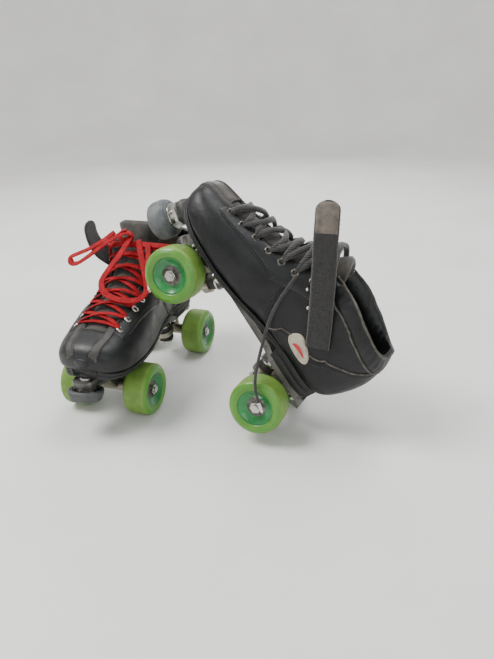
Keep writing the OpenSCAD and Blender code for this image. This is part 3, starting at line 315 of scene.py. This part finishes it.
# ------------------------------------------------------------------- boots
RIV = [(9.6, 0.2), (10.2, 0.3)]
EY = [3.95, 4.7, 5.5, 6.3, 7.15, 8.2, 9.7, 11.6]
CT = np.array([(8.8, .70), (9.35, .45), (10.15, .40), (10.7, .40), (12.8, .433), (14.4, .567), (15.6, .683), (16.6, .8), (17.6, .93)])
for side in ("right", "left"):
    B = Boot(side); body = side + "_boot"
    def pt(r, c, sy, off):
        r, c, sy, off = np.broadcast_arrays(*[np.asarray(v, float) for v in (r, c, sy, off)])
        s = B.row_s(r, np.maximum(c, 0)); s = np.where(off > 1, s + 0.8 * np.maximum(0, 1 - s / 3.4), s)
        e = B.edge_angle(s); th = np.where(c < 0, 90 - (1 + c) * (90 - e), e - c * (e + 90))
        return B.skin(s, th, sy, off)
    def wrinkle(P):
        x, y, z = P[..., 0], P[..., 1], P[..., 2]
        return 0.35 * np.sin(x / 9 + 2 * np.sin(z / 23)) * np.sin(z / 13 + y / 17) + 0.25 * np.sin(x / 4.3 + z / 6 + y / 11) * np.exp(-((x - 10) / 45) ** 2)
    rows = np.concatenate([np.linspace(0, 3.4, 24), np.linspace(3.4, 9, 44)[1:], np.linspace(9, 18, 64)[1:]]); iv = 23
    ca = np.linspace(-1, 0, 9)[:-1]; cb = np.linspace(0, 1, 60)
    C = np.concatenate([ca, cb, cb[-2::-1], ca[:0:-1]]); SY = np.concatenate([np.ones(8 + 60), -np.ones(59 + 7)]); m = len(C); n = len(rows)
    thr = C <= 1e-9
    O = pt(rows[:, None], C[None], SY[None], 0.0); Nn = unit(O - pt(rows[:, None], C[None], SY[None], 0.9))
    O = O + Nn * wrinkle(O)[..., None] * np.clip((rows / 3), 0, 1)[:, None, None]
    I = pt(rows[:, None], C[None], SY[None], 4.5)
    cap = []
    for G, fwd in ((O, 2.2), (I, 1.0)):
        c0 = G[0].mean(0); cap.append(np.stack([c0 + (G[0] - c0) * math.cos(t) + np.array([fwd, 0, 0.2]) * math.sin(t) for t in np.linspace(0, 1.5, 6)[1:]][::-1]))
    O = np.concatenate([cap[0], O]); I = np.concatenate([cap[1], I]); k0 = 5; n += k0; iv += k0
    F, mi, cnt = [], [], {}
    for i in range(n - 1):
        for j in range(m):
            j2 = (j + 1) % m
            if i >= iv and thr[j] and thr[j2]: continue
            f = (i * m + j, (i + 1) * m + j, (i + 1) * m + j2, i * m + j2); F.append(f); mi.append(1 if (i < iv and thr[j] and thr[j2]) else 0)
            for a, b in zip(f, f[1:] + f[:1]): cnt[(a, b)] = 1
    M_ = n * m; nf = len(F)
    F.append(tuple(range(m))); mi.append(0)
    F2 = [tuple(M_ + v for v in f[::-1]) for f in F]
    edge = [(b, a, a + M_, b + M_) for (a, b) in cnt if (b, a) not in cnt and not (a < m and b < m)]
    used = set(v for f in F + F2 for v in f); V = np.concatenate([O.reshape(-1, 3), I.reshape(-1, 3)])
    keep = sorted(used); ren = {v: q for q, v in enumerate(keep)}; allF = [tuple(ren[v] for v in f) for f in F + F2 + edge]
    midx = mi + [2] * len(F2) + [3] * len(edge)
    boot = build(side + "_boot_shell", side, V[keep], [f[::-1] for f in allF], [m_leather, m_toe if side == "right" else m_toe_l, m_lining, m_edge], midx=midx, ride=body)
    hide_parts(side + "_boot_upper")

    # raised panels on the skin: g(u, v) -> (s, angle) ; edges sink into the leather
    def panel(name, sy, sfun, u, v, hi, m_, base=0.0, edges=(1, 1, 1, 1)):
        U, Vv = np.meshgrid(u, v, indexing="ij"); s, th = sfun(U, Vv)
        def ramp(x, lo, hi_): 
            k = np.linspace(0, 1, len(x)); w = 2.2 / len(x)
            return np.minimum(np.where(lo, np.clip(k / w, 0, 1), 1), np.where(hi_, np.clip((1 - k) / w, 0, 1), 1))
        h = np.minimum(ramp(u, edges[0], edges[1])[:, None], ramp(v, edges[2], edges[3])[None]) ** 0.5
        P = B.skin(s, th, sy, 0.0); N_ = unit(P - B.skin(s, th, sy, 0.9))
        P = P + N_ * (base + wrinkle(P) - 0.9 + (hi + 0.9) * h)[..., None]
        F = quads(len(u), len(v)); F = F if sy < 0 else [f[::-1] for f in F]
        return build(name, side, P, F, m_, ride=body)
    def on(s, th, sy, off):
        P = B.skin(s, th, sy, 0.0); N_ = unit(P - B.skin(s, th, sy, 0.9)); return P + N_ * (off + wrinkle(P))[..., None], N_
    def stitch(name, s, th, sy, off, pitch=3.4, ln=2.4, r=0.42, m_=None):
        P, N_ = on(np.asarray(s, float), np.asarray(th, float), sy, off); L = arclen(P); k = max(2, int(L[-1] / pitch))
        x = (np.arange(k) + 0.5) * L[-1] / k; g = lambda A, q: np.stack([np.interp(q, L, A[:, i]) for i in range(3)], -1)
        a, b, nn = g(P, x - ln / 2), g(P, x + ln / 2), unit(g(N_, x)); V, F = [], []
        for i in range(k):
            T = unit(b[i] - a[i]); S = unit(np.cross(T, nn[i])); base = len(V)
            for t_, sc in ((-0.1, 0.25), (0.15, 0.9), (0.5, 1.1), (0.85, 0.9), (1.1, 0.25)):
                for q in range(6):
                    an = q * math.pi / 3; V.append(a[i] + (b[i] - a[i]) * t_ + (S * math.cos(an) + nn[i] * math.sin(an)) * r * sc)
            F += [f[::-1] for f in quads(5, 6, cv=True, base=base)] + [tuple(base + q for q in range(6)), tuple(base + 24 + q for q in range(5, -1, -1))]
        return build(name, side, V, F, m_ or m_thread, ride=body)
    def line(name, s, th, sy, r, off, m_=m_piping):
        P, N_ = on(np.asarray(s, float), np.asarray(th, float), sy, off)
        return sweep(name, side, P, 2 * r, 2 * r, N_, m_, ride=body, n=10, sq=1.0)
    ss = np.linspace(3.45, 11.9, 110)
    for sy, tag in ((1, "lat"), (-1, "med")):
        ew = lambda U, Vv: (U, B.side_angle(U, B.throat_w(U) + 0.4 + Vv))
        panel(f"{side}_eyestay_{tag}", sy, ew, ss, np.linspace(0, 17 if side == "left" else 18, 14), 1.0, m_leather)
        for q, w_ in enumerate((2.2, 14.2, 16.0)):
            sl = np.linspace(3.7, 11.7, 200); stitch(f"{side}_eyestay_stitch_{tag}{q}", sl, B.side_angle(sl, B.throat_w(sl) + w_), sy, 1.0)
        # toe strips
        st = np.linspace(0.6, 4.3, 44); tw = lambda U, Vv: (U, B.side_angle(U, np.minimum(8.5 + 2.2 * U, 15.5) + Vv))
        panel(f"{side}_toe_strip_{tag}", sy, tw, st, np.linspace(-1.5, 9, 12), 1.7, m_strip)
        for q, w_ in enumerate((0.2, 7.2)):
            stitch(f"{side}_toe_strip_stitch_{tag}{q}", st[1:-1], B.side_angle(st[1:-1], np.minimum(8.5 + 2.2 * st[1:-1], 15.5) + w_), sy, 1.7)
        # heel counter
        hc = lambda U, Vv: (U, B.col_angle(U, np.interp(U, CT[:, 0], CT[:, 1]) * (1 - Vv) + Vv))
        panel(f"{side}_heel_counter_{tag}", sy, hc, np.linspace(8.8, 17.3, 90), np.linspace(0, 1, 40), 1.2, m_leather, edges=(1, 1, 1, 0))
        sh = np.linspace(8.85, 17.2, 160); ct = np.interp(sh, CT[:, 0], CT[:, 1])
        line(f"{side}_counter_piping_{tag}", sh, B.col_angle(sh, ct), sy, 1.1, 0.5)
        stitch(f"{side}_counter_stitch_{tag}", sh, B.col_angle(sh, ct + 0.035), sy, 1.25)
        # side seam from the eyestay down to the sole
        sd = np.linspace(7.9, 9.0, 60); cd = np.linspace(0.14, 0.74, 60)
        panel(f"{side}_side_seam_{tag}", sy, lambda U, Vv: (np.interp(U, cd, sd) + Vv, B.col_angle(np.interp(U, cd, sd) + Vv, U)), cd, np.linspace(-0.12, 0.12, 6), 0.5, m_leather)
        for q in (-0.07, 0.07): stitch(f"{side}_side_stitch_{tag}{int(q * 100 + 7)}", sd + q, B.col_angle(sd + q, cd), sy, 0.55)
        # edge binding of the throat
        se = np.linspace(3.4, 11.8, 160); P, N_ = on(se, B.edge_angle(se), sy, -1.6)
        sweep(f"{side}_throat_edge_{tag}", side, P, 3.0, 5.6, N_, m_edge, ride=body, n=12, sq=0.9)
    V, F = [], []; prof = np.array([(2.4, -3.5), (2.3, 0.3), (2.6, 0.75), (3.3, 1.0), (4.1, 0.75), (4.6, 0.0), (4.6, -0.6)])
    for s_ in EY:
        for sy in (1, -1):
            th = B.side_angle(s_, B.throat_w(s_) + 7.0); P, N_ = on(np.array([s_]), np.array([th]), sy, 1.0); P, a = P[0], N_[0]
            u = unit(np.cross(a, [0.3, 0.2, 0.91])); v = np.cross(a, u); base = len(V)
            for t_ in np.linspace(0, 2 * np.pi, 28, endpoint=False):
                for r_, h_ in prof: V.append(P + a * h_ + (u * math.cos(t_) + v * math.sin(t_)) * r_)
            F += [f for f in quads(28, len(prof), cu=True, base=base)]
    ey = build(side + "_eyelet_rings", side, V, [f[::-1] for f in F], m_eye if side == "right" else m_eye2, ride=body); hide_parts(side + "_eyelets")

    u = np.linspace(-1, 1, 41); ang = 90 - np.abs(u) * (90 - B.edge_angle(3.42)); P = B.skin(np.full(41, 3.42) + 0.1 * u**4, ang, np.where(u < 0, -1.0, 1.0), 1.6)
    sweep(side + "_vamp_edge", side, P, 3.4, 5.8, unit(P - B.skin(np.full(41, 3.42), ang, np.where(u < 0, -1.0, 1.0), 5.0)), m_edge, ride=body, n=12, sq=0.9)
    # padded collar roll
    cc = np.linspace(0.0, 1, 70); CC = np.concatenate([cc, cc[-2::-1]]); S2 = np.concatenate([np.ones(70), -np.ones(69)])
    end = B.col_end(CC); a_ = B.skin(end, B.col_angle(end, CC), S2, 0.0); b_ = B.skin(end - 1, B.col_angle(end - 1, CC), S2, 0.0)
    per = np.linalg.norm(a_ - b_, axis=-1); fi = np.linspace(0, 2 * np.pi, 26, endpoint=False)
    bunch = 1 + 0.07 * np.sin(np.arange(len(CC)) * 1.15) + 0.05 * np.sin(np.arange(len(CC)) * 0.43)
    endt = np.clip(np.minimum(np.arange(len(CC)), len(CC) - 1 - np.arange(len(CC))) / 6, 0.25, 1) ** 0.5
    al = -8.5 + 10.5 * np.cos(fi)[None] * endt[:, None]; of = 2.6 - (5.2 * np.sign(np.sin(fi)) * np.abs(np.sin(fi)) ** 0.8)[None] * (bunch * endt)[:, None]
    S_ = end[:, None] + al / per[:, None]; TH_ = B.col_angle(S_, CC[:, None]); P = B.skin(S_, TH_, S2[:, None], 0.0)
    N_ = unit(P - B.skin(S_, TH_, S2[:, None], 0.9)); P = P - N_ * of[..., None]
    F = quads(len(CC), 26, cv=True) + [tuple(range(25, -1, -1)), tuple((len(CC) - 1) * 26 + np.arange(26))]
    col = build(side + "_collar_pad", side, P, F, [m_leather], ride=body)
    sb = end - 18.6 / per; P = B.skin(sb, B.col_angle(sb, CC), S2, -0.7)
    sweep(side + "_collar_piping", side, P, 2.4, 2.4, unit(P - B.skin(sb, B.col_angle(sb, CC), S2, 2.0)), m_piping, ride=body, n=10, sq=1.0)

    sr = end + 1.9 / per; P = B.skin(sr, B.col_angle(sr, CC), S2, 0.6); sweep(side + "_rim_piping", side, P, 2.6, 2.6, unit(P - B.skin(sr, B.col_angle(sr, CC), S2, 3.0)), m_piping, ride=body, n=10, sq=1.0)
    # layered sole
    OSV = np.array([[1, 15, 75], [1.6, 23, 72], [2.3, 30, 70.4], [3, 36, 69], [4, 42, 68.3], [5, 44, 68.3], [6, 42.5, 68.3], [7, 37.5, 69.6], [8, 33, 73], [9, 31, 77], [9.6, 30.5, 78.8],
                    [9.7, 30.5, 68.3], [11, 30.5, 68.3], [11.7, 26, 68.3], [12.2, 17, 68.3]], float)
    so = np.sort(np.concatenate([np.linspace(1, 12.2, 90), [9.6, 9.7]])); hw = np.interp(so, OSV[:, 0], OSV[:, 1]); lz = np.interp(so, OSV[:, 0], OSV[:, 2]); t_ = at(ST, so); tz = t_[:, 1] + 2.0
    vv = np.array([0, 0.06, 0.3, 0.46, 0.5, 0.54, 0.8, 0.94, 1.0]); kk_ = np.array([-1.2, 0, 0.5, 0.5, -0.5, 0.6, 1.0, 1.2, 0.2]); yl = hw[:, None] + kk_[None]; zl = lz[:, None] + (tz - lz)[:, None] * vv[None]
    L_ = np.stack([np.repeat(t_[:, 0:1], 9, 1), t_[:, 8:9] + yl, zl], -1); R2 = np.stack([L_[..., 0], t_[:, 8:9] - yl, zl], -1)[:, ::-1]; G = np.concatenate([L_, R2], 1)
    sole = build(side + "_sole", side, G, [f[::-1] for f in quads(len(so), 18, cv=True)] + [tuple(range(18)), tuple((len(so) - 1) * 18 + np.arange(17, -1, -1))], m_sole, ride=body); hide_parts(side + "_outsole")
    # tongue: padded, crowned between the laces
    top_s = 18.4 if side == "right" else 14.4
    s = np.linspace(3.5, top_s, 90); q = np.linspace(-1, 1, 31); wt = np.minimum(at(TH, s) + 9 + 3 * B.flare(s), B.half_w(s) - 9)
    wt = wt * np.sqrt(1 - 0.6 * np.clip((s - top_s + 1.3) / 1.3, 0, 1) ** 2.5)
    aa = B.side_angle(s, wt)[:, None]; QQ = np.abs(q)[None]; TA = 90 - QQ * (90 - aa); sgn = np.where(q < 0, -1.0, 1.0)[None]
    mid = (1 - np.abs(q) ** 2.2)[None]; up = ease((s - (15 if side == "right" else 12)) / 2.5)[:, None]; lc = (0.5 - 0.5 * np.cos(2 * np.pi * np.interp(s, EY, np.arange(8))))[:, None]
    bulge = (3.0 if side == "left" else 1.0) * np.exp(-((s - 6.2) / 1.6) ** 2)[:, None]
    top = 6.0 - mid * (3.2 + bulge + 1.0 * (1 - lc) * (1 - up) + 1.4 * up); bot = 10.4 + 1.2 * up * mid
    edge_ = (1 - np.abs(q) ** 6)[None] ** 0.5; md = (top + bot) / 2; hf = (bot - top) / 2 * np.maximum(0.12, edge_) * np.clip((top_s + 0.1 - s) / 0.8, 0.2, 1)[:, None] ** 0.5
    T1 = B.skin(s[:, None], TA, sgn, md - hf, 0.0); T2 = B.skin(s[:, None], TA, sgn, md + hf, 0.0)
    nn_, kk = len(s), len(q); F = quads(nn_, kk) + [tuple(nn_ * kk + v for v in f[::-1]) for f in quads(nn_, kk)]; Mo = nn_ * kk
    F += [(i * kk + kk - 1, (i + 1) * kk + kk - 1, Mo + (i + 1) * kk + kk - 1, Mo + i * kk + kk - 1) for i in range(nn_ - 1)]
    F += [((i + 1) * kk, i * kk, Mo + i * kk, Mo + (i + 1) * kk) for i in range(nn_ - 1)]
    F += [(j + 1, j, Mo + j, Mo + j + 1)[::-1] for j in range(kk - 1)] + [((nn_ - 1) * kk + j, (nn_ - 1) * kk + j + 1, Mo + (nn_ - 1) * kk + j + 1, Mo + (nn_ - 1) * kk + j)[::-1] for j in range(kk - 1)]
    ton = build(side + "_tongue_pad", side, np.concatenate([T1.reshape(-1, 3), T2.reshape(-1, 3)]), [f[::-1] for f in F], m_tongue, ride=None)
    bpy.context.view_layer.objects.active = ton; rest = np.array([v.co for v in ton.data.vertices])
    cl = ton.modifiers.new("cloth", "CLOTH"); cs_ = cl.settings; cs_.use_pressure = True; cs_.uniform_pressure_force = 2.5; cs_.quality = 5; cs_.mass = 0.3
    cs_.tension_stiffness = cs_.compression_stiffness = 8; cs_.effector_weights.gravity = 0; cl.collision_settings.use_collision = False
    for f_ in range(1, 9): bpy.context.scene.frame_set(f_)
    dg = bpy.context.evaluated_depsgraph_get(); ev = np.array([v.co for v in ton.evaluated_get(dg).data.vertices]); d = ev - rest
    ton.modifiers.remove(cl); bpy.context.scene.frame_set(1); ln_ = np.linalg.norm(d, axis=1, keepdims=True); d = np.nan_to_num(d * np.minimum(1, 0.0012 / np.maximum(ln_, 1e-9)))
    ton.data.vertices.foreach_set("co", (rest + d).ravel()); ton.data.update()
    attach(ton, body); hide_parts(side + "_tongue")
    # insole
    s = np.linspace(2.6, 11.8, 60); q = np.linspace(-1, 1, 15); t_ = at(ST, s); X = np.repeat(t_[:, 0:1], 15, 1); Y = t_[:, 8:9] + q[None] * t_[:, 4:5] * 0.66
    Z = t_[:, 1:2] + 10.4 + 2.2 * np.abs(q)[None] ** 3; G = np.stack([X, Y, Z], -1); G2 = G - [0, 0, 3.2]
    F = quads(60, 15) + [tuple(900 + v for v in f[::-1]) for f in quads(60, 15)]
    ins = build(side + "_insole", side, np.concatenate([G.reshape(-1, 3), G2.reshape(-1, 3)]), F, m_suede, ride=body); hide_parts(side + "_footbed")
    # suede patch inside the heel
    for sy, tag in ((1, "lat"), (-1, "med")):
        U, Vv = np.meshgrid(np.linspace(13.4, 17.2, 40), np.linspace(0.62, 1, 24), indexing="ij"); U = np.minimum(U, B.col_end(Vv) - 0.6)
        h = np.clip(np.minimum((Vv - 0.62) * 30, (U - 13.4) * 3), 0, 1); P = B.skin(U, B.col_angle(U, Vv), sy, 4.2 + 1.2 * h)
        build(f"{side}_heel_suede_{tag}", side, P, [f[::-1] if sy < 0 else f for f in quads(40, 24)], m_suede, ride=body)

    # laced section
    ml, lw, lt = (m_red, 7.0, 1.7) if side == "right" else (m_black, 6.4, 4.6)
    for sgn_ in (-1, 1):
        P, N_ = [], []
        for i in range(7):
            sy = sgn_ if i % 2 == 0 else -sgn_
            u = np.linspace(0, 1, 25); s_ = EY[i] + (EY[i + 1] - EY[i]) * u; e = B.side_angle(s_, B.throat_w(s_) + 7); g = (2 * u - 1) * (90 - e)
            lift = (2.2 if side == "right" else 3.4) + (2.2 if sy > 0 else 0.0) * np.sin(np.pi * u) ** 2 + 1.2 * np.sin(np.pi * u)
            if side == "left":
                lift = lift + 3.2 * np.sin(np.pi * u) * (1 + 0.5 * math.sin(i * 2.1 + sgn_)); s_ = s_ + 0.14 * np.sin(2 * np.pi * u) * (1 if i % 2 else -1) + 0.1 * np.sin(np.pi * u) * math.sin(i * 1.7 + 2 * sgn_)
            dip = 3.0 * (np.clip(1 - u / 0.07, 0, 1) + np.clip(1 - (1 - u) / 0.07, 0, 1)) if side == "right" else 3.4 * (np.clip(1 - u / 0.09, 0, 1) + np.clip(1 - (1 - u) / 0.09, 0, 1))
            p = B.skin(s_, 90 - np.abs(g), np.where(g < 0, sy, -sy), 0.0); p2 = B.skin(s_, 90 - np.abs(g), np.where(g < 0, sy, -sy), 3.0); nn = unit(p - p2)
            P.append(p + nn * (lift - dip)[:, None]); N_.append(nn)
        for i in range(7):
            sweep(f"{side}_lace_{'a' if sgn_ < 0 else 'b'}{i}", side, P[i], lw, lt, N_[i], ml, ride=body, n=12, sq=0.45, taper=np.interp(np.arange(25), [0, 3, 21, 24], [0.45, 1, 1, 0.45]))
    # lowest strand across the throat
    u = np.linspace(-1, 1, 31); e = B.side_angle(EY[0], B.throat_w(EY[0]) + 7); ang = 90 - np.abs(u) * (90 - e)
    p = B.skin(np.full(31, EY[0]), ang, np.where(u < 0, -1.0, 1.0), 0.0); nn = unit(p - B.skin(np.full(31, EY[0]), ang, np.where(u < 0, -1.0, 1.0), 3.0))
    o = sweep(side + "_lace_first", side, p + nn * (2.2 - 3 * np.clip((np.abs(u) - 0.9) / 0.1, 0, 1))[:, None], lw, lt, nn, ml, ride=body, n=12, sq=0.45)
    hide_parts(side + "_lace", side + "_lace_end")
    if side == "right":   # flat knot over the top of the throat
        t = np.linspace(0, 2 * np.pi * 1.35, 60); R_ = 9.5 - 1.1 * t / 2
        P = np.stack([10 + 4 * np.sin(t) * 0.8 + t * 0.6, R_ * np.sin(t) + 2, 197 + R_ * np.cos(t) * 0.72 - 1.5], -1)
        sweep("right_lace_knot", side, P, 8.2, 2.0, unit(P - [10, 2, 190]), m_red, ride=body, n=12, sq=0.5)

    # badge: oval, plain cream with a red arc
    def oval(a, b, z0, dome, n1=14, n2=64, cs=(10.58, 0.44), rot=0.0):
        V = []; c = B.skin(cs[0], B.col_angle(cs[0], cs[1]), 1, 0.0); es = unit(B.skin(cs[0] + 0.2, B.col_angle(cs[0] + 0.2, cs[1]), 1, 0.0) - c)
        ps = np.linalg.norm(B.skin(cs[0] + 0.5, B.col_angle(cs[0] + 0.5, cs[1]), 1, 0.0) - B.skin(cs[0] - 0.5, B.col_angle(cs[0] - 0.5, cs[1]), 1, 0.0))
        pc = np.linalg.norm(B.sc(cs[0], cs[1] + 0.05, 1) - B.sc(cs[0], cs[1] - 0.05, 1)) / 0.1
        def P_(x, y, h):
            X = x * math.cos(rot) - y * math.sin(rot); Y = x * math.sin(rot) + y * math.cos(rot); s_ = cs[0] + X / ps; c_ = cs[1] + Y / pc
            p, n_ = on(s_, B.col_angle(s_, c_), 1, 1.2); return p + n_ * h[..., None]
        return P_
    P_ = oval(0, 0, 0, 0); rr = np.linspace(0.02, 1, 16)[:, None]; tt = np.linspace(0, 2 * np.pi, 72, endpoint=False)[None]
    A_, Bb = 17.0, 10.5; prof_h = np.interp(rr, [0, 0.80, 0.84, 0.92, 0.97, 1.0], [1.3, 1.1, 1.5, 1.6, 1.0, -0.5])
    V = P_(A_ * rr * np.cos(tt), Bb * rr * np.sin(tt), prof_h * np.ones_like(tt)); bd = build(side + "_badge_oval", side, V, quads(16, 72, cv=True) + [tuple(range(71, -1, -1))], m_cream, ride=body)
    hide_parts(side + "_badge")
    x = np.linspace(-9.5, 9.5, 40)[:, None]; v_ = np.linspace(-1, 1, 7)[None]; wd = 2.4 * np.sqrt(np.maximum(0, 1 - (x / 9.6) ** 2)); V = P_(x + 0 * v_, 0.03 * x**2 - 2.5 + v_ * wd, 1.45 + 0.35 * (1 - v_**2) * np.ones_like(x))
    build(side + "_badge_arc", side, V, quads(40, 7), m_badge_red, ride=body)

    # straps: sewn base, then the curved free end
    base = np.array([[-62, 39.5, 122], [-48, 40, 134], [-34, 40.5, 145], [-20, 41.2, 156], [-6, 42.5, 167]], float)
    free = [[7, 43.6, 177], [21, 43.4, 187], [35, 41, 197], [50, 36, 207], [57, 33, 212]]
    if side == "right": base = base + [0, 5, 0]; free = [[1, 49, 174], [5, 51, 182], [7, 53, 192], [7, 54, 202], [6, 53, 210]]
    P = catmull(np.vstack([base, free]), 1.6); T = unit(np.gradient(P, axis=0)); wdir = unit(np.cross([0, 1, 0], T)); N_ = unit(np.cross(wdir, T)); N_ = N_ * np.sign(N_[:, 1:2])
    L = arclen(P); tp = np.sqrt(np.clip(1 - (np.clip(L - (L[-1] - 10), 0, None) / 10.2) ** 2, 0.05, 1)); nc = 17; x = np.linspace(-1, 1, nc); V, UV = [], []
    for sgn2 in (1, -1):
        for i in range(len(P)):
            fz = 0.35 * math.sin(L[i] * 2.1) * math.sin(L[i] * 0.37 + 1)
            for xx in x:
                th_ = 1.35 * (1 - abs(xx) ** 8 * 0.5) + 0.12 * math.sin(xx * 25); V.append(P[i] + wdir[i] * xx * (12.5 * tp[i] + (fz if abs(xx) > 0.95 else 0)) + N_[i] * sgn2 * th_); UV.append((L[i] / 1000, xx * 0.0125))
    k = len(P); Mo = k * nc; F = quads(k, nc) + [tuple(Mo + v for v in f[::-1]) for f in quads(k, nc)]
    F += [(i * nc + nc - 1, (i + 1) * nc + nc - 1, Mo + (i + 1) * nc + nc - 1, Mo + i * nc + nc - 1) for i in range(k - 1)] + [((i + 1) * nc, i * nc, Mo + i * nc, Mo + (i + 1) * nc) for i in range(k - 1)]
    F += [(j + 1, j, Mo + j, Mo + j + 1) for j in range(nc - 1)] + [((k - 1) * nc + j, (k - 1) * nc + j + 1, Mo + (k - 1) * nc + j + 1, Mo + (k - 1) * nc + j) for j in range(nc - 1)]
    st_ = build(side + "_strap", side, V, F, m_web, uv=UV)
    # hook patch on the free end
    i0 = int(np.searchsorted(L, L[-1] - 34)); V = []
    for i in range(i0, k - 1):
        for xx in np.linspace(-1, 1, 13):
            e_ = min(1, (1 - abs(xx)) * 9, (i - i0) * 0.6, (k - 2 - i) * 0.6); V.append(P[i] + wdir[i] * xx * 11.3 * tp[i] + N_[i] * (1.2 + 1.1 * e_))
    hp = build(side + "_hook_patch", side, V, quads(k - 1 - i0, 13), m_hook)
    for o_ in (st_, hp):
        if o_ is st_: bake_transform(o_)
        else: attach(o_, side + "_ankle_strap")
    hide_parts(side + "_strap_base", side + "_ankle_strap")
    # strap stitching box and two rivets
    for w0 in (-0.8, 0.8):
        pp = P[3:int(np.searchsorted(L, 34))]; wq = wdir[3:3 + len(pp)]; nq = N_[3:3 + len(pp)]; q_ = pp + wq * 12.5 * w0 + nq * 1.4
        for i in range(0, len(q_) - 2, 3): sweep(f"{side}_strap_stitch_{int(w0 > 0)}{i}", side, np.linspace(q_[i], q_[i + 1] * 0.4 + q_[i + 2] * 0.6, 4), 0.9, 0.9, nq[i], m_thread, ride=body, n=6, sq=1.0)
    for d_, (s_, c_) in enumerate(RIV):
        p_, n_ = on(np.array([s_]), np.array([B.col_angle(s_, c_)]), 1, 0.6); lathe(f"{side}_rivet_{d_}", side, [(0.05, 1.0), (0.9, 0.9), (1.6, 0.5), (1.9, -0.4), (0.05, -0.4)], p_[0], n_[0], m_eye, n=32, ride=body, closed=False)

# ------------------------------------------------------------------- wheels
h = 15.75; r0, rw = 20.0, 31.0
def arc(cx, cy, r, a, b, n=14): t = np.radians(np.linspace(a, b, n)); return np.stack([cx + r * np.cos(t), cy + r * np.sin(t)], -1)
half = np.vstack([[[r0, -h + 1.4], [r0 + 1.6, -h + 1.0], [r0 + 3.4, -h + 0.5]], arc(r0 + 5.2, -h + 1.2, 1.2, -110, -60, 6), arc(rw - 6.5, -h + 6.9, 6.5, -62, 0, 16), [[rw, -h + 9.5], [rw, -2.5]]])
tprof = np.vstack([half, [[rw, 0]], (half * [1, -1])[::-1]]); nt_ = len(tprof)
tm = [0 if np.hypot(*(tprof[i] - [0, 0])) < 32.2 and tprof[i][0] < rw - 1.0 else 1 for i in range(nt_)]
ch = np.array([[20.2, 13.8], [19, 13.6], [18.4, 13.35], [17.8, 12.8], [15.2, 11.3], [12.4, 9.7], [11.4, 9.5], [11.02, 9.2], [11.02, 2], [9.5, 2]])
cprof = np.vstack([ch, (ch * [1, -1])[::-1]])
for side in ("right", "left"):
    for e, x in (("front", 84), ("rear", -84)):
        for k, y in (("inner", -42), ("outer", 42)):
            b = f"{side}_{e}_{k}_wheel"
            o = lathe(f"{b}_tyre", side, tprof, (x, y, 31), (0, 1, 0), [m_tyre, m_tread], n=160, ride=b, midx=tm)
            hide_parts(b); lathe(f"{b}_core", side, cprof, (x, y, 31), (0, 1, 0), m_core, n=128, ride=b)

# --------------------------------------------------------- floor and lights
pr = [(0.0, 0.0), (0.6, 0.0), (1.4, 0.0), (1.9, 0.0)] + [(1.9 + 0.7 * math.sin(a), 0.7 - 0.7 * math.cos(a)) for a in np.linspace(0.1, 1.5708, 14)] + [(2.6, 2.2)]
V = [(r_ * math.cos(a), r_ * math.sin(a), z_ - 0.0004) for a in np.linspace(0, 2 * math.pi, 96, endpoint=False) for r_, z_ in pr[1:]] + [(0, 0, -0.0004)]; k_ = len(pr) - 1
F = quads(96, k_, cu=True) + [(96 * k_, ((i + 1) % 96) * k_, i * k_) for i in range(96)]
me = bpy.data.meshes.new("floor"); me.from_pydata(V, [], F); fl = bpy.data.objects.new("floor", me); me.polygons.foreach_set("use_smooth", [True] * len(me.polygons))
bpy.context.collection.objects.link(fl); me.materials.append(m_floor); fl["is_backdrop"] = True
def area(name, loc, size, power, col=(1, 1, 1)):
    l = bpy.data.lights.new(name, "AREA"); l.size = size; l.energy = power; l.color = col; o = bpy.data.objects.new(name, l); o.location = loc
    o.rotation_euler = (Vector((0, 0, 0.1)) - Vector(loc)).to_track_quat("-Z", "Y").to_euler(); bpy.context.collection.objects.link(o)
area("key", (0.4, -1.0, 1.7), 0.8, 40, (1, 0.985, 0.96)); area("fill", (1.3, 1.0, 1.0), 1.2, 9, (0.95, 0.98, 1)); area("top", (-0.5, 0.3, 1.9), 1.0, 22); area("back", (-1.4, -0.4, 0.9), 0.8, 8)
w = bpy.data.worlds.new("world"); bpy.context.scene.world = w; w.use_nodes = True
w.node_tree.nodes["Background"].inputs[0].default_value = (0.9, 0.92, 0.95, 1); w.node_tree.nodes["Background"].inputs[1].default_value = 0.5

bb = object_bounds()
def plain(v): return [plain(x) for x in v] if hasattr(v, "__len__") and not isinstance(v, (str, dict)) else ({k: plain(x) for k, x in v.items()} if isinstance(v, dict) else float(v))
{"cad": plain(cad_box), "visual": plain(bb)}
